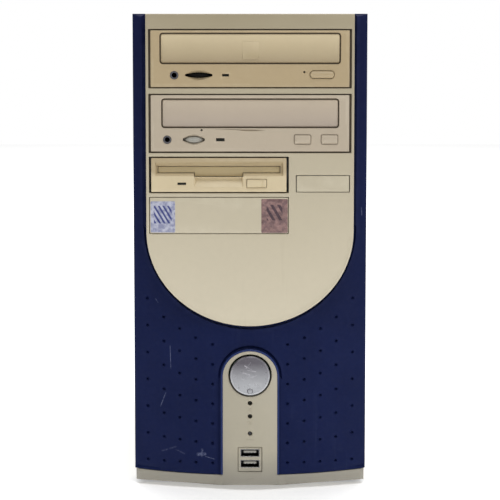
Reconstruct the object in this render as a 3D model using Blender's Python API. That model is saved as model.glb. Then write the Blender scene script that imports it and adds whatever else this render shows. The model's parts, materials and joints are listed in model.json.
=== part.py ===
"""Mini tower computer: steel chassis, two-colour moulded front, drives, power supply and boards.

Metres, +Z up. The front faces -Y and the origin is on the floor under the middle of the tower.
Sizes come first, then the tools that make shapes, then one function for each group of pieces.
"""

import math
from dataclasses import dataclass

import bmesh
import bpy
from mathutils import Matrix, Vector

# ---------------------------------------------------------------- overall sizes
WIDTH = 0.1770
DEPTH = 0.4000
HEIGHT = 0.3600
FOOT_HEIGHT = 0.0040

# ---------------------------------------------------------------- stock and fits
SHEET = 0.0010
GAP = 0.0003
CUT = 0.0100  # how far a cutter runs past what it cuts
CASE_INSET = 0.0010  # the steel case is this much smaller than the front, on each side

# ---------------------------------------------------------------- levels along the depth
FRONT = -DEPTH / 2
REAR = DEPTH / 2
BUTTON_PROUD = 0.0005
COLUMN_RISE = 0.0050
PANEL_RISE = 0.0030
DRIVE_PROUD = 0.0005
FRONT_DEPTH = 0.0460
SCREW_HEAD_LENGTH = 0.0062
COLUMN_Y = FRONT + BUTTON_PROUD
COVER_Y = COLUMN_Y + COLUMN_RISE
PANEL_Y = COVER_Y - PANEL_RISE
DRIVE_Y = PANEL_Y - DRIVE_PROUD
CHASSIS_Y = FRONT + FRONT_DEPTH
BACK_Y = REAR - SCREW_HEAD_LENGTH - SHEET - 2 * GAP  # outer face of the rear plate
INNER_FRONT_Y = CHASSIS_Y + SHEET + GAP
INNER_BACK_Y = BACK_Y - SHEET - GAP

# ---------------------------------------------------------------- levels across and up
CASE_HALF = WIDTH / 2 - CASE_INSET
FRAME_HALF = CASE_HALF - SHEET - GAP
CASE_TOP = HEIGHT - CASE_INSET
FRAME_TOP = CASE_TOP - SHEET - GAP
FRAME_BOTTOM = FOOT_HEIGHT + SHEET + GAP

# ---------------------------------------------------------------- front mouldings
BOW_RADIUS = 0.2010
BOW_STEPS = 24
COVER_WALL = 0.0025
BASE_WALL = 0.0025
SKIRT_HEIGHT = 0.0092
SKIRT_INSET = 0.0007
PANEL_SAG = 0.0718  # height of the half ellipse under the panel's straight sides
PANEL_WALL = 0.0030
PANEL_RIM = 0.0020
PANEL_GROOVE = 0.0022
COLUMN_RIM = 0.0047  # column left beside the power button's hole
COLUMN_ARC_Z = 0.0865  # centre of the column's round top
COLUMN_CROWN = 0.0046
COLUMN_WALL = 0.0030
COLUMN_GROOVE = 0.0005
SKIRT_TOP = FOOT_HEIGHT + SKIRT_HEIGHT

# ---------------------------------------------------------------- controls on the column
POWER_Z = COLUMN_ARC_Z + 0.0019
POWER_RADIUS = 0.0150
POWER_CLEARANCE = 0.0013
POWER_THICKNESS = 0.0070
COLUMN_HALF = POWER_RADIUS + POWER_CLEARANCE + COLUMN_RIM
POWER_TRAVEL = 0.0030
STEM_RADIUS = 0.0040
LAMP_DROP = 0.0048  # from the power button's hole to the upper lamp
LAMP_PITCH = 0.0101
POWER_LAMP_Z = POWER_Z - POWER_RADIUS - POWER_CLEARANCE - LAMP_DROP
LAMP_Z = (POWER_LAMP_Z, POWER_LAMP_Z - LAMP_PITCH)
LAMP_RADIUS = 0.0015
RESET_Z = LAMP_Z[1] - 0.0132
RESET_RADIUS = 0.0014
RESET_TRAVEL = 0.0012
SMALL_CLEARANCE = 0.0003
USB_Z = 0.0237
USB_SIZE = (0.0184, 0.0192)
USB_SOCKET = (0.0126, 0.0050)
USB_PITCH = 0.0084
USB_SETBACK = 0.0020
USB_DEPTH = 0.0160
SOCKET_DEPTH = 0.0100
SWITCH_BOARD_Y = FRONT + 0.0280
SWITCH_BOARD_THICK = 0.0016

# ---------------------------------------------------------------- drives
# Heights inside the flat panel are drops below the top of the tower.
BAY_SIDE_CLEARANCE = 0.0017
BAY_TOP_CLEARANCE = 0.0010
FACE_THICK = 0.0050
OPTICAL_WIDTH = 0.1480
OPTICAL_HEIGHT = 0.0420
OPTICAL_LENGTH = 0.1900
FLOPPY_HEIGHT = 0.0254
FLOPPY_LENGTH = 0.1450
BLANK_HEIGHT = 0.0269
DISK_HEIGHT = 0.0261
DISK_LENGTH = 0.1470
SMALL_DRIVE_WIDTH = 0.1008
SMALL_DRIVE_X = -0.0233
BODY_SIDE_STEP = 0.0010  # a drive's box is this much narrower than its face, on each side
BODY_TOP_STEP = 0.0004
TOP_MARGIN = 0.0122
OPTICAL_WEB = 0.0060  # between the two optical faces
FLOPPY_WEB = 0.0049
BLANK_WEB = 0.0043
BLANK_CLEARANCE = 0.0005
OPTICAL_FACE = (OPTICAL_WIDTH, OPTICAL_HEIGHT)
OPTICAL_BODY = (OPTICAL_WIDTH - 2 * BODY_SIDE_STEP, OPTICAL_LENGTH, OPTICAL_HEIGHT - 2 * BODY_TOP_STEP)
OPTICAL_DROPS = {"writer": TOP_MARGIN, "reader": TOP_MARGIN + OPTICAL_HEIGHT + OPTICAL_WEB}
FLOPPY_FACE = (SMALL_DRIVE_WIDTH + 0.0004, FLOPPY_HEIGHT)
FLOPPY_BODY = (SMALL_DRIVE_WIDTH, FLOPPY_LENGTH, FLOPPY_HEIGHT - 2 * BODY_TOP_STEP)
FLOPPY_DROP = OPTICAL_DROPS["reader"] + OPTICAL_HEIGHT + FLOPPY_WEB
BLANK_FACE = (SMALL_DRIVE_WIDTH + 0.0027, BLANK_HEIGHT)
BLANK_DROP = FLOPPY_DROP + FLOPPY_HEIGHT + BLANK_WEB
DISK_BODY = (SMALL_DRIVE_WIDTH, DISK_LENGTH, DISK_HEIGHT)
PANEL_HALF = OPTICAL_WIDTH / 2 + BAY_SIDE_CLEARANCE + PANEL_RIM
PANEL_STRAIGHT = BLANK_DROP + BLANK_HEIGHT - 0.0014  # length of the panel's straight sides
NAME_PLATE = (0.0397, 0.0123)
NAME_PLATE_X = PANEL_HALF - 0.0232
NAME_PLATE_DROP = FLOPPY_DROP + 0.0132
NAME_PLATE_THICK = 0.0012

# ---------------------------------------------------------------- optical drive insides
DOOR_CLEARANCE = 0.0010
DOOR_THICK = 0.0030
DOOR_RADIUS = 0.0015
DRIVE_WALL = 0.0010
TRAY_WIDTH = OPTICAL_WIDTH - 0.0190
TRAY_LENGTH = 0.1550
TRAY_THICK = 0.0070
TRAY_ABOVE_DOOR = 0.0048  # from the door's lower edge to the tray's underside
DISC_RECESS = (0.0603, 0.0022)  # radius and depth
LENS_SLOT = (0.0300, 0.0620)
GEAR_TEETH = 18
GEAR_MODULE = 0.00125
GEAR_THICK = 0.0038
GEAR_X = -0.0300
GEAR_SETBACK = 0.0200
GEAR_BACKLASH = 0.0002
PRESSURE_ANGLE = math.radians(20)
RACK_TEETH = 35
AXLE_RADIUS = 0.0015
AXLE_CLEARANCE = 0.0003
PRESS_PROUD = 0.0015
KEY_FLANGE = 0.0010
KEY_FLANGE_THICK = 0.0015

# ---------------------------------------------------------------- power supply and boards
FAN_SIZE = 0.0800
FAN_BORE = FAN_SIZE / 2 - 0.0020
FAN_DEPTH = 0.0250
PSU_SIZE = (0.1500, 0.1400, FAN_SIZE + 0.0060)
FAN_X = -PSU_SIZE[0] / 2 + FAN_SIZE / 2 + 0.0070
INLET_SIZE = (0.0270, 0.0200)
INLET_X = PSU_SIZE[0] / 2 - 0.0270
BOARD_SIZE = 0.2440
BOARD_THICK = 0.0016
STANDOFF = 0.0050
BOARD_CLEARANCE = 0.0020
TRAY_SETBACK = 0.0060
CPU_FAN_SIZE = 0.0600
CPU_FAN_BORE = CPU_FAN_SIZE / 2 - 0.0020
CPU_FAN_DEPTH = 0.0110
SLOT_PITCH = 0.02032
SLOT_OPENING = (0.0900, 0.0120)
PORT_APERTURE = (0.04445, 0.15875)
BOARD_BACK_X = FRAME_HALF - TRAY_SETBACK - SHEET - STANDOFF
BOARD_FACE_X = BOARD_BACK_X - BOARD_THICK
BOARD_Z = FRAME_BOTTOM + SHEET + BOARD_CLEARANCE
BOARD_BACK_Y = BACK_Y - SHEET - 0.0030
PORT_TOP = BOARD_Z + BOARD_SIZE - 0.0020
CARD_Z = PORT_TOP - PORT_APERTURE[1] - SLOT_PITCH / 2


# ================================================================ materials
def make_material(name, colour, roughness, metallic=0.0):
    """A Principled BSDF with one colour."""
    material = bpy.data.materials.new(name)
    material.use_nodes = True
    shader = material.node_tree.nodes["Principled BSDF"]
    shader.inputs["Base Color"].default_value = (*colour, 1.0)
    shader.inputs["Roughness"].default_value = roughness
    shader.inputs["Metallic"].default_value = metallic
    material.diffuse_color = (*colour, 1.0)
    return material


def make_paints():
    """Every material of the tower, by name."""
    kinds = {
        "cream": ((0.56, 0.50, 0.38), 0.50),
        "blue": ((0.012, 0.019, 0.085), 0.35),
        "straw": ((0.50, 0.40, 0.25), 0.50),
        "stone": ((0.55, 0.48, 0.36), 0.50),
        "silver": ((0.62, 0.62, 0.66), 0.30),
        "black": ((0.012, 0.012, 0.014), 0.45),
        "grey": ((0.36, 0.36, 0.34), 0.50),
        "red": ((0.50, 0.02, 0.02), 0.45),
        "lamp": ((0.16, 0.30, 0.10), 0.20),
        "board": ((0.02, 0.16, 0.06), 0.50),
        "ribbon": ((0.45, 0.46, 0.48), 0.60),
        "rubber": ((0.020, 0.020, 0.020), 0.85),
    }
    metals = {
        "zinc": ((0.60, 0.61, 0.62), 0.38),
        "steel_wire": ((0.55, 0.56, 0.58), 0.30),
        "fins": ((0.70, 0.71, 0.73), 0.35),
    }
    paints = {name: make_material(name, *look) for name, look in kinds.items()}
    paints.update({name: make_material(name, *look, 1.0) for name, look in metals.items()})
    paints["painted_steel"] = make_material("painted_steel", (0.50, 0.46, 0.37), 0.45)
    return paints


# ================================================================ shape tools
def solid(name, mesh_data, paint=None):
    """An object from a finished bmesh, with its faces turned outwards."""
    bmesh.ops.recalc_face_normals(mesh_data, faces=mesh_data.faces)
    mesh = bpy.data.meshes.new(name)
    mesh_data.to_mesh(mesh)
    mesh_data.free()
    if paint:
        mesh.materials.append(paint)
    piece = bpy.data.objects.new(name, mesh)
    bpy.context.scene.collection.objects.link(piece)
    return piece


def boxes(name, spans, paint=None):
    """Separate boxes in one object. Each span is ((x0, x1), (y0, y1), (z0, z1))."""
    mesh_data = bmesh.new()
    for span in spans:
        middle = Vector([(low + high) / 2 for low, high in span])
        size = [high - low for low, high in span]
        shape = Matrix.Translation(middle) @ Matrix.Diagonal((*size, 1.0))
        bmesh.ops.create_cube(mesh_data, size=1.0, matrix=shape)
    return solid(name, mesh_data, paint)


def box(name, x, y, z, paint=None):
    """One box between the given lows and highs."""
    return boxes(name, [(x, y, z)], paint)


def placed(axis, u, v, w):
    """The point whose plane coordinates are u, v and whose place along the axis is w."""
    if axis == "X":
        return (w, u, v)
    if axis == "Y":
        return (u, w, v)
    return (u, v, w)


def prism(name, outline, axis, low, high, paint=None):
    """An outline pushed along an axis. The outline lies in the other two axes, in X, Y, Z order."""
    mesh_data = bmesh.new()
    lower = [mesh_data.verts.new(placed(axis, u, v, low)) for u, v in outline]
    upper = [mesh_data.verts.new(placed(axis, u, v, high)) for u, v in outline]
    mesh_data.faces.new(lower)
    mesh_data.faces.new(upper)
    for index in range(len(outline)):
        mesh_data.faces.new((lower[index], lower[index - 1], upper[index - 1], upper[index]))
    return solid(name, mesh_data, paint)


def turned(name, profile, axis, centre, steps=24, paint=None, closed=False):
    """A profile of (radius, place along the axis) turned about the axis through the centre.

    The centre gives the two coordinates across the axis. A closed profile makes a ring.
    """
    mesh_data = bmesh.new()
    rings = []
    for radius, along in profile:
        if radius == 0.0:
            rings.append([mesh_data.verts.new(placed(axis, *centre, along))])
            continue
        ring = []
        for step in range(steps):
            angle = math.tau * step / steps
            u = centre[0] + radius * math.cos(angle)
            v = centre[1] + radius * math.sin(angle)
            ring.append(mesh_data.verts.new(placed(axis, u, v, along)))
        rings.append(ring)
    pairs = list(zip(rings, rings[1:]))
    if closed:
        pairs.append((rings[-1], rings[0]))
    for first, second in pairs:
        for step in range(steps):
            corners = [
                first[step % len(first)],
                first[(step + 1) % len(first)],
                second[(step + 1) % len(second)],
                second[step % len(second)],
            ]
            mesh_data.faces.new(list(dict.fromkeys(corners)))
    return smooth(solid(name, mesh_data, paint))


def rod(name, radius, axis, centre, low, high, steps=24, paint=None):
    """A plain round bar along an axis."""
    profile = [(0.0, high), (radius, high), (radius, low), (0.0, low)]
    return turned(name, profile, axis, centre, steps, paint)


def smooth(piece, angle=math.radians(32)):
    """Rounds the shading of a piece's curved faces and keeps its edges sharp."""
    piece.data.shade_smooth()
    piece.data.set_sharp_from_angle(angle=angle)
    return piece


def combine(piece, tool, operation):
    """Applies one Boolean to the piece and throws the tool away."""
    modifier = piece.modifiers.new("Combine", "BOOLEAN")
    modifier.operation = operation
    modifier.object = tool
    bpy.context.view_layer.update()
    graph = bpy.context.evaluated_depsgraph_get()
    mesh = bpy.data.meshes.new_from_object(piece.evaluated_get(graph))
    piece.modifiers.remove(modifier)
    piece.data = mesh
    bpy.data.objects.remove(tool)
    return piece


def cut(piece, *tools):
    """Takes each tool's volume out of the piece."""
    for tool in tools:
        combine(piece, tool, "DIFFERENCE")
    return piece


def join(piece, *tools):
    """Adds each tool's volume to the piece, as one solid."""
    for tool in tools:
        combine(piece, tool, "UNION")
    return piece


def keep_inside(piece, tool):
    """Keeps what the piece and the tool share."""
    return combine(piece, tool, "INTERSECT")


def pivot(piece, point):
    """Moves a piece's origin to a point, with the piece where it was."""
    piece.data.transform(Matrix.Translation(-Vector(point)))
    piece.location = point
    return piece


def around(centre, size):
    """The low and high of a span of this size about its centre."""
    return (centre - size / 2, centre + size / 2)


def rounded(x, z, radius, steps=4):
    """A rectangle with round corners between x[0] and x[1], and z[0] and z[1]."""
    corners = ((x[1], z[1], -1, -1), (x[0], z[1], 1, -1), (x[0], z[0], 1, 1), (x[1], z[0], -1, 1))
    points = []
    for quarter, (u, v, inward_u, inward_v) in enumerate(corners):
        centre = (u + inward_u * radius, v + inward_v * radius)
        start = quarter * math.pi / 2
        points += arc(centre, radius, start, start + math.pi / 2, steps)
    return points


def grown(span, by):
    """A span with each end moved outwards."""
    return (span[0] - by, span[1] + by)


def arc(centre, radius, start, end, steps):
    """Points along an arc, both ends included. Angles in radians."""
    angles = [start + (end - start) * step / steps for step in range(steps + 1)]
    return [(centre[0] + radius * math.cos(a), centre[1] + radius * math.sin(a)) for a in angles]


# ================================================================ front end
def bow(x, inset=0.0):
    """Y of the bowed front at x, moved inwards by the inset."""
    return COVER_Y + BOW_RADIUS - math.sqrt((BOW_RADIUS - inset) ** 2 - x**2)


def bowed_plan(half, inset, back):
    """Plan of a body with the bowed front and straight sides."""
    places = [half * (2 * step / BOW_STEPS - 1) for step in range(BOW_STEPS + 1)]
    return [(x, bow(x, inset)) for x in places] + [(half, back), (-half, back)]


def panel_outline(grow=0.0, top=HEIGHT):
    """The flat panel's outline: straight sides over a half ellipse."""
    half = PANEL_HALF + grow
    sag = PANEL_SAG + grow
    shoulder = HEIGHT - PANEL_STRAIGHT
    angles = [math.pi * step / 32 for step in range(33)]
    curve = [(half * math.cos(a), shoulder - sag * math.sin(a)) for a in angles]
    return [(half, top), *curve, (-half, top)]


def column_outline(grow=0.0, bottom=FOOT_HEIGHT):
    """The column's outline: straight sides under a half circle."""
    half = COLUMN_HALF + grow
    return [(half, bottom), *arc((0.0, COLUMN_ARC_Z), half, 0.0, math.pi, 20), (-half, bottom)]


def column_plan(sink=0.0, back=CHASSIS_Y):
    """The column's crowned plan, sunk below its outer face."""
    radius = (COLUMN_HALF**2 + COLUMN_CROWN**2) / (2 * COLUMN_CROWN)
    half = COLUMN_HALF + COVER_WALL
    places = [half * (2 * step / 14 - 1) for step in range(15)]
    front = [(x, COLUMN_Y + sink + radius - math.sqrt(radius**2 - x**2)) for x in places]
    return front + [(half, back), (-half, back)]


def bay(face, x, drop, side, over):
    """The X and Z spans of a bay opening for a face of this size."""
    top = HEIGHT - drop
    return (
        (x - face[0] / 2 - side, x + face[0] / 2 + side),
        (top - face[1] - over, top + over),
    )


def bay_openings():
    """The X and Z spans of every opening in the flat panel."""
    opens = [
        bay(OPTICAL_FACE, 0.0, drop, BAY_SIDE_CLEARANCE, BAY_TOP_CLEARANCE)
        for drop in OPTICAL_DROPS.values()
    ]
    opens.append(bay(FLOPPY_FACE, SMALL_DRIVE_X, FLOPPY_DROP, BAY_SIDE_CLEARANCE, BAY_TOP_CLEARANCE))
    opens.append(bay(BLANK_FACE, SMALL_DRIVE_X, BLANK_DROP, BLANK_CLEARANCE, BLANK_CLEARANCE))
    return opens


def name_plate_spans(clearance=0.0):
    """The X and Z spans of the name-plate."""
    middle = HEIGHT - NAME_PLATE_DROP - NAME_PLATE[1] / 2
    return (
        around(NAME_PLATE_X, NAME_PLATE[0] + 2 * clearance),
        around(middle, NAME_PLATE[1] + 2 * clearance),
    )


def front_bezel(paints):
    """The cream moulding: base, flat panel, column and skirt in one."""
    inset = COVER_WALL + GAP
    back = CHASSIS_Y - GAP
    half = WIDTH / 2 - inset
    inner = inset + BASE_WALL
    panel_back = bow(PANEL_HALF, inner)
    piece = prism("front_bezel", bowed_plan(half, inset, back), "Z", FOOT_HEIGHT, HEIGHT)
    panel = prism("panel", panel_outline(), "Y", PANEL_Y, panel_back)
    column = prism("column", column_plan(), "Z", FOOT_HEIGHT, COLUMN_ARC_Z + 2 * COLUMN_HALF)
    keep_inside(column, prism("outline", column_outline(), "Y", FRONT - CUT, back))
    skirt_plan = bowed_plan(WIDTH / 2 - SKIRT_INSET, 0.0, back)
    skirt = prism("skirt", skirt_plan, "Z", FOOT_HEIGHT, SKIRT_TOP)
    join(piece, skirt, panel, column)

    hollow_plan = bowed_plan(half - BASE_WALL, inner, back + CUT)
    hollow = prism("hollow", hollow_plan, "Z", FOOT_HEIGHT - CUT, HEIGHT - BASE_WALL)
    pocket_outline = panel_outline(-PANEL_RIM, HEIGHT - BASE_WALL)
    pocket = prism("pocket", pocket_outline, "Y", PANEL_Y + PANEL_WALL, CHASSIS_Y)
    well = prism("well", column_plan(COLUMN_WALL), "Z", FOOT_HEIGHT - CUT, HEIGHT)
    well_outline = column_outline(-COLUMN_WALL, FOOT_HEIGHT - CUT)
    keep_inside(well, prism("outline", well_outline, "Y", FRONT - CUT, CHASSIS_Y))
    cut(piece, hollow, pocket, well)

    reach = (FRONT - CUT, PANEL_Y + PANEL_WALL + CUT)
    opens = [(x, reach, z) for x, z in bay_openings()]
    plate_x, plate_z = name_plate_spans(GAP)
    opens.append((plate_x, (FRONT - CUT, PANEL_Y + NAME_PLATE_THICK + GAP), plate_z))
    cut(piece, boxes("bays", opens))

    through = (FRONT - CUT, SWITCH_BOARD_Y)
    cut(piece, rod("hole", POWER_RADIUS + POWER_CLEARANCE, "Y", (0.0, POWER_Z), *through, 32))
    for height in LAMP_Z:
        cut(piece, rod("hole", LAMP_RADIUS + SMALL_CLEARANCE, "Y", (0.0, height), *through, 12))
    cut(piece, rod("hole", RESET_RADIUS + SMALL_CLEARANCE, "Y", (0.0, RESET_Z), *through, 12))
    cut(piece, box("usb_window", around(0.0, USB_SIZE[0]), through, around(USB_Z, USB_SIZE[1])))
    piece.data.materials.append(paints["cream"])
    return piece


def front_cover(paints):
    """The dark-blue bowed shell around the flat panel and the column."""
    back = CHASSIS_Y - GAP
    low = SKIRT_TOP + GAP
    half = WIDTH / 2
    piece = prism("front_cover", bowed_plan(half, 0.0, back), "Z", low, HEIGHT)
    hollow_plan = bowed_plan(half - COVER_WALL, COVER_WALL, back + CUT)
    cut(piece, prism("hollow", hollow_plan, "Z", low - CUT, HEIGHT + CUT))
    reach = (FRONT - CUT, bow(PANEL_HALF + PANEL_GROOVE, COVER_WALL) + GAP)
    cut(piece, prism("panel_window", panel_outline(PANEL_GROOVE, HEIGHT + CUT), "Y", *reach))
    slot = column_outline(COLUMN_GROOVE, low - CUT)
    cut(piece, prism("column_slot", slot, "Y", *reach))
    piece.data.materials.append(paints["blue"])
    return piece


def bay_blank(paints):
    """The plain cover of the lower 3.5 inch bay."""
    top = HEIGHT - BLANK_DROP
    x = around(SMALL_DRIVE_X, BLANK_FACE[0])
    z = (top - BLANK_FACE[1], top)
    piece = box("bay_blank", x, (PANEL_Y, PANEL_Y + PANEL_WALL), z)
    lip = 2 * BASE_WALL
    rim_x = (x[0] + lip, x[1] - lip)
    rim_z = (z[0] + lip, z[1] - lip)
    rim_y = (PANEL_Y + PANEL_WALL - GAP, PANEL_Y + 2 * PANEL_WALL)
    hollow = box("hollow", (rim_x[0] + lip, rim_x[1] - lip), (PANEL_Y + PANEL_WALL, CHASSIS_Y),
                 (rim_z[0] + lip, rim_z[1] - lip))
    join(piece, box("rim", rim_x, rim_y, rim_z))
    cut(piece, hollow)
    piece.data.materials.append(paints["cream"])
    return piece


def name_plate(paints):
    """The small plate let into the flat panel."""
    x, z = name_plate_spans()
    return box("name_plate", x, (PANEL_Y, PANEL_Y + NAME_PLATE_THICK), z, paints["cream"])


def power_button(paints):
    """A dished disc on a stem, pressed along +Y."""
    back = FRONT + POWER_THICKNESS
    tip = SWITCH_BOARD_Y - 0.0050 - POWER_TRAVEL - GAP
    profile = [
        (0.0, tip),
        (STEM_RADIUS, tip),
        (STEM_RADIUS, back),
        (POWER_RADIUS - 0.0005, back),
        (POWER_RADIUS, FRONT + 0.0010),
        (POWER_RADIUS - 0.0010, FRONT),
        (POWER_RADIUS * 0.6, FRONT + 0.0006),
        (0.0, FRONT + 0.0009),
    ]
    piece = turned("power_button", profile, "Y", (0.0, POWER_Z), 32, paints["silver"])
    return pivot(piece, (0.0, FRONT, POWER_Z))


def reset_button(paints):
    """A thin pin, reached through a small hole and pressed along +Y."""
    face = COLUMN_Y + 0.0012
    tip = SWITCH_BOARD_Y - 0.0035 - RESET_TRAVEL - GAP
    shoulder = COLUMN_Y + COLUMN_WALL + 0.0012
    profile = [
        (0.0, tip),
        (RESET_RADIUS * 2, tip),
        (RESET_RADIUS * 2, shoulder),
        (RESET_RADIUS, shoulder),
        (RESET_RADIUS, face),
        (0.0, face),
    ]
    piece = turned("reset_button", profile, "Y", (0.0, RESET_Z), 12, paints["grey"])
    return pivot(piece, (0.0, face, RESET_Z))


def lamps(paints):
    """The power lamp and the disk lamp: light pipes from the board to the column's face."""
    for name, height in zip(("power_lamp", "disk_lamp"), LAMP_Z):
        reach = (COLUMN_Y + 0.0004, SWITCH_BOARD_Y - GAP)
        rod(name, LAMP_RADIUS, "Y", (0.0, height), *reach, 12, paints["lamp"])


def usb_module(paints):
    """The twin socket block behind its window, as large as the window less a fit."""
    face = COLUMN_Y + USB_SETBACK
    x = around(0.0, USB_SIZE[0] - 2 * SMALL_CLEARANCE)
    z = around(USB_Z, USB_SIZE[1] - 2 * SMALL_CLEARANCE)
    piece = box("usb_module", x, (face, face + USB_DEPTH), z)
    sockets = [
        (around(0.0, USB_SOCKET[0]), (face - CUT, face + SOCKET_DEPTH), around(height, USB_SOCKET[1]))
        for height in (USB_Z - USB_PITCH / 2, USB_Z + USB_PITCH / 2)
    ]
    cut(piece, boxes("sockets", sockets))
    piece.data.materials.append(paints["black"])
    return piece


def switch_board(paints):
    """The small board behind the column, with the two switches that the buttons press."""
    back = SWITCH_BOARD_Y + SWITCH_BOARD_THICK
    bottom = USB_Z + USB_SIZE[1] / 2 + 0.0030
    board = box("switch_board", around(0.0, 0.0320), (SWITCH_BOARD_Y, back), (bottom, POWER_Z + 0.0120))
    power = box("switch", around(0.0, 0.0100), (SWITCH_BOARD_Y - 0.0050, back - GAP), around(POWER_Z, 0.0100))
    reset = box("switch", around(0.0, 0.0060), (SWITCH_BOARD_Y - 0.0035, back - GAP), around(RESET_Z, 0.0060))
    join(board, power, reset)
    board.data.materials.append(paints["board"])
    return board


# ================================================================ optical drives
@dataclass
class OpticalFace:
    """Where a drive's controls sit. Heights are drops below the top of its face."""

    name: str
    paint: str
    door_x: tuple
    door_drop: float
    door_height: float
    jack_x: float
    jack_drop: float
    wheel_x: float
    wheel_radius: float
    wheel_set: float  # from the face to the wheel's axle
    wheel_thick: float
    wheel_paint: str
    lamp_x: tuple
    lamp_height: float
    pin: tuple
    key_radius: float
    buttons: dict  # name: (x low, x high, drop of its top, drop of its bottom)


WRITER = OpticalFace(
    name="writer", paint="straw",
    door_x=(-0.0663, 0.0666), door_drop=0.0027, door_height=0.0214,
    jack_x=-0.0564, jack_drop=0.0332,
    wheel_x=-0.0381, wheel_radius=0.0110, wheel_set=0.0100, wheel_thick=0.0032, wheel_paint="black",
    lamp_x=(-0.0207, -0.0157), lamp_height=0.0019,
    pin=(0.0404, 0.0309), key_radius=0.0026,
    buttons={"writer_eject_button": (0.0447, 0.0626, 0.0300, 0.0355)},
)
READER = OpticalFace(
    name="reader", paint="stone",
    door_x=(-0.0652, 0.0655), door_drop=0.0034, door_height=0.0202,
    jack_x=-0.0618, jack_drop=0.0332,
    wheel_x=-0.0419, wheel_radius=0.0080, wheel_set=0.0072, wheel_thick=0.0044, wheel_paint="grey",
    lamp_x=(-0.0253, -0.0190), lamp_height=0.0024,
    pin=(-0.0361, 0.0260), key_radius=0.0010,
    buttons={
        "reader_play_button": (0.0331, 0.0453, 0.0296, 0.0363),
        "reader_eject_button": (0.0532, 0.0654, 0.0296, 0.0363),
    },
)
JACK_RADIUS = 0.0032
PIN_RADIUS = 0.0008
WHEEL_CLEARANCE = 0.0004


def door_outline(face, top, grow=0.0):
    """The outline of the tray's door, or of the hole that it shuts."""
    door_top = top - face.door_drop
    z = (door_top - face.door_height, door_top)
    return rounded(grown(face.door_x, grow), grown(z, grow), DOOR_RADIUS + grow)


def wheel_slot(face):
    """The X span of the slot that lets the volume wheel through the face."""
    reach = face.wheel_radius**2 - (face.wheel_set - FACE_THICK) ** 2
    return around(face.wheel_x, 2 * (math.sqrt(reach) + WHEEL_CLEARANCE))


def drive_face(face, paints, top):
    """A drive's moulded front, with openings for its tray, jack, wheel, lamp and buttons."""
    x = around(0.0, OPTICAL_FACE[0])
    y = (DRIVE_Y, DRIVE_Y + FACE_THICK)
    piece = box(f"{face.name}_bezel", x, y, (top - OPTICAL_FACE[1], top))
    through = (DRIVE_Y - CUT, DRIVE_Y + FACE_THICK + CUT)
    wheel_z = top - face.jack_drop
    cut(piece, prism("door_hole", door_outline(face, top, DOOR_CLEARANCE), "Y", *through))
    opens = [
        (wheel_slot(face), through, around(wheel_z, face.wheel_thick + 2 * WHEEL_CLEARANCE)),
        (face.lamp_x, through, around(wheel_z, face.lamp_height)),
    ]
    cut(piece, boxes("openings", opens))
    cut(piece, rod("jack", JACK_RADIUS, "Y", (face.jack_x, wheel_z), *through, 16))
    cut(piece, rod("pin", PIN_RADIUS, "Y", (face.pin[0], top - face.pin[1]), *through, 8))
    for low, high, drop, bottom in face.buttons.values():
        hole_x = grown((low, high), SMALL_CLEARANCE)
        hole_z = grown((top - bottom, top - drop), SMALL_CLEARANCE)
        radius = face.key_radius + SMALL_CLEARANCE
        cut(piece, prism("hole", rounded(hole_x, hole_z, radius), "Y", *through))
    piece.data.materials.append(paints[face.paint])
    return piece


def drive_body(face, paints, top):
    """The drive's steel box, open at the front, with tray ledges and the two axles."""
    middle = top - OPTICAL_FACE[1] / 2
    start = DRIVE_Y + FACE_THICK + GAP
    y = (start, start + OPTICAL_BODY[1])
    x = around(0.0, OPTICAL_BODY[0])
    z = around(middle, OPTICAL_BODY[2])
    piece = box(f"{face.name}_body", x, y, z)
    inside_x = (x[0] + DRIVE_WALL, x[1] - DRIVE_WALL)
    floor = z[0] + DRIVE_WALL
    cut(piece, box("hollow", inside_x, (start - CUT, y[1] - DRIVE_WALL), (floor, z[1] - DRIVE_WALL)))

    tray_low = top - face.door_drop - face.door_height + TRAY_ABOVE_DOOR
    ledge_z = (tray_low - GAP - 0.0020, tray_low - GAP)
    ledge_y = (start + 0.0100, y[1] - 0.0200)
    reach = TRAY_WIDTH / 2 - 0.0020
    ledges = [((x[0] + GAP, -reach), ledge_y, ledge_z), ((reach, x[1] - GAP), ledge_y, ledge_z)]
    join(piece, boxes("ledges", ledges))

    gear_x, gear_y = gear_centre(start)
    gear_top = rack_low(face, top) + GEAR_THICK
    join(piece, rod("axle", AXLE_RADIUS, "Z", (gear_x, gear_y), z[0] + GAP, gear_top, 12))
    boss_top = rack_low(face, top) - GAP
    join(piece, rod("boss", AXLE_RADIUS * 3, "Z", (gear_x, gear_y), z[0] + GAP, boss_top, 12))
    wheel_z = top - face.jack_drop
    wheel_at = (face.wheel_x, DRIVE_Y + face.wheel_set)
    join(piece, rod("axle", AXLE_RADIUS, "Z", wheel_at, z[0] + GAP, wheel_z + face.wheel_thick / 2, 12))
    piece.data.materials.append(paints["zinc"])
    return piece


def gear_centre(start):
    """Where the loading gear turns, behind the front edge of the drive's box."""
    return GEAR_X, start + GEAR_SETBACK


def rack_low(face, top):
    """The lower level of the tray's rack and of its gear."""
    return top - face.door_drop - face.door_height + GAP


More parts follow.
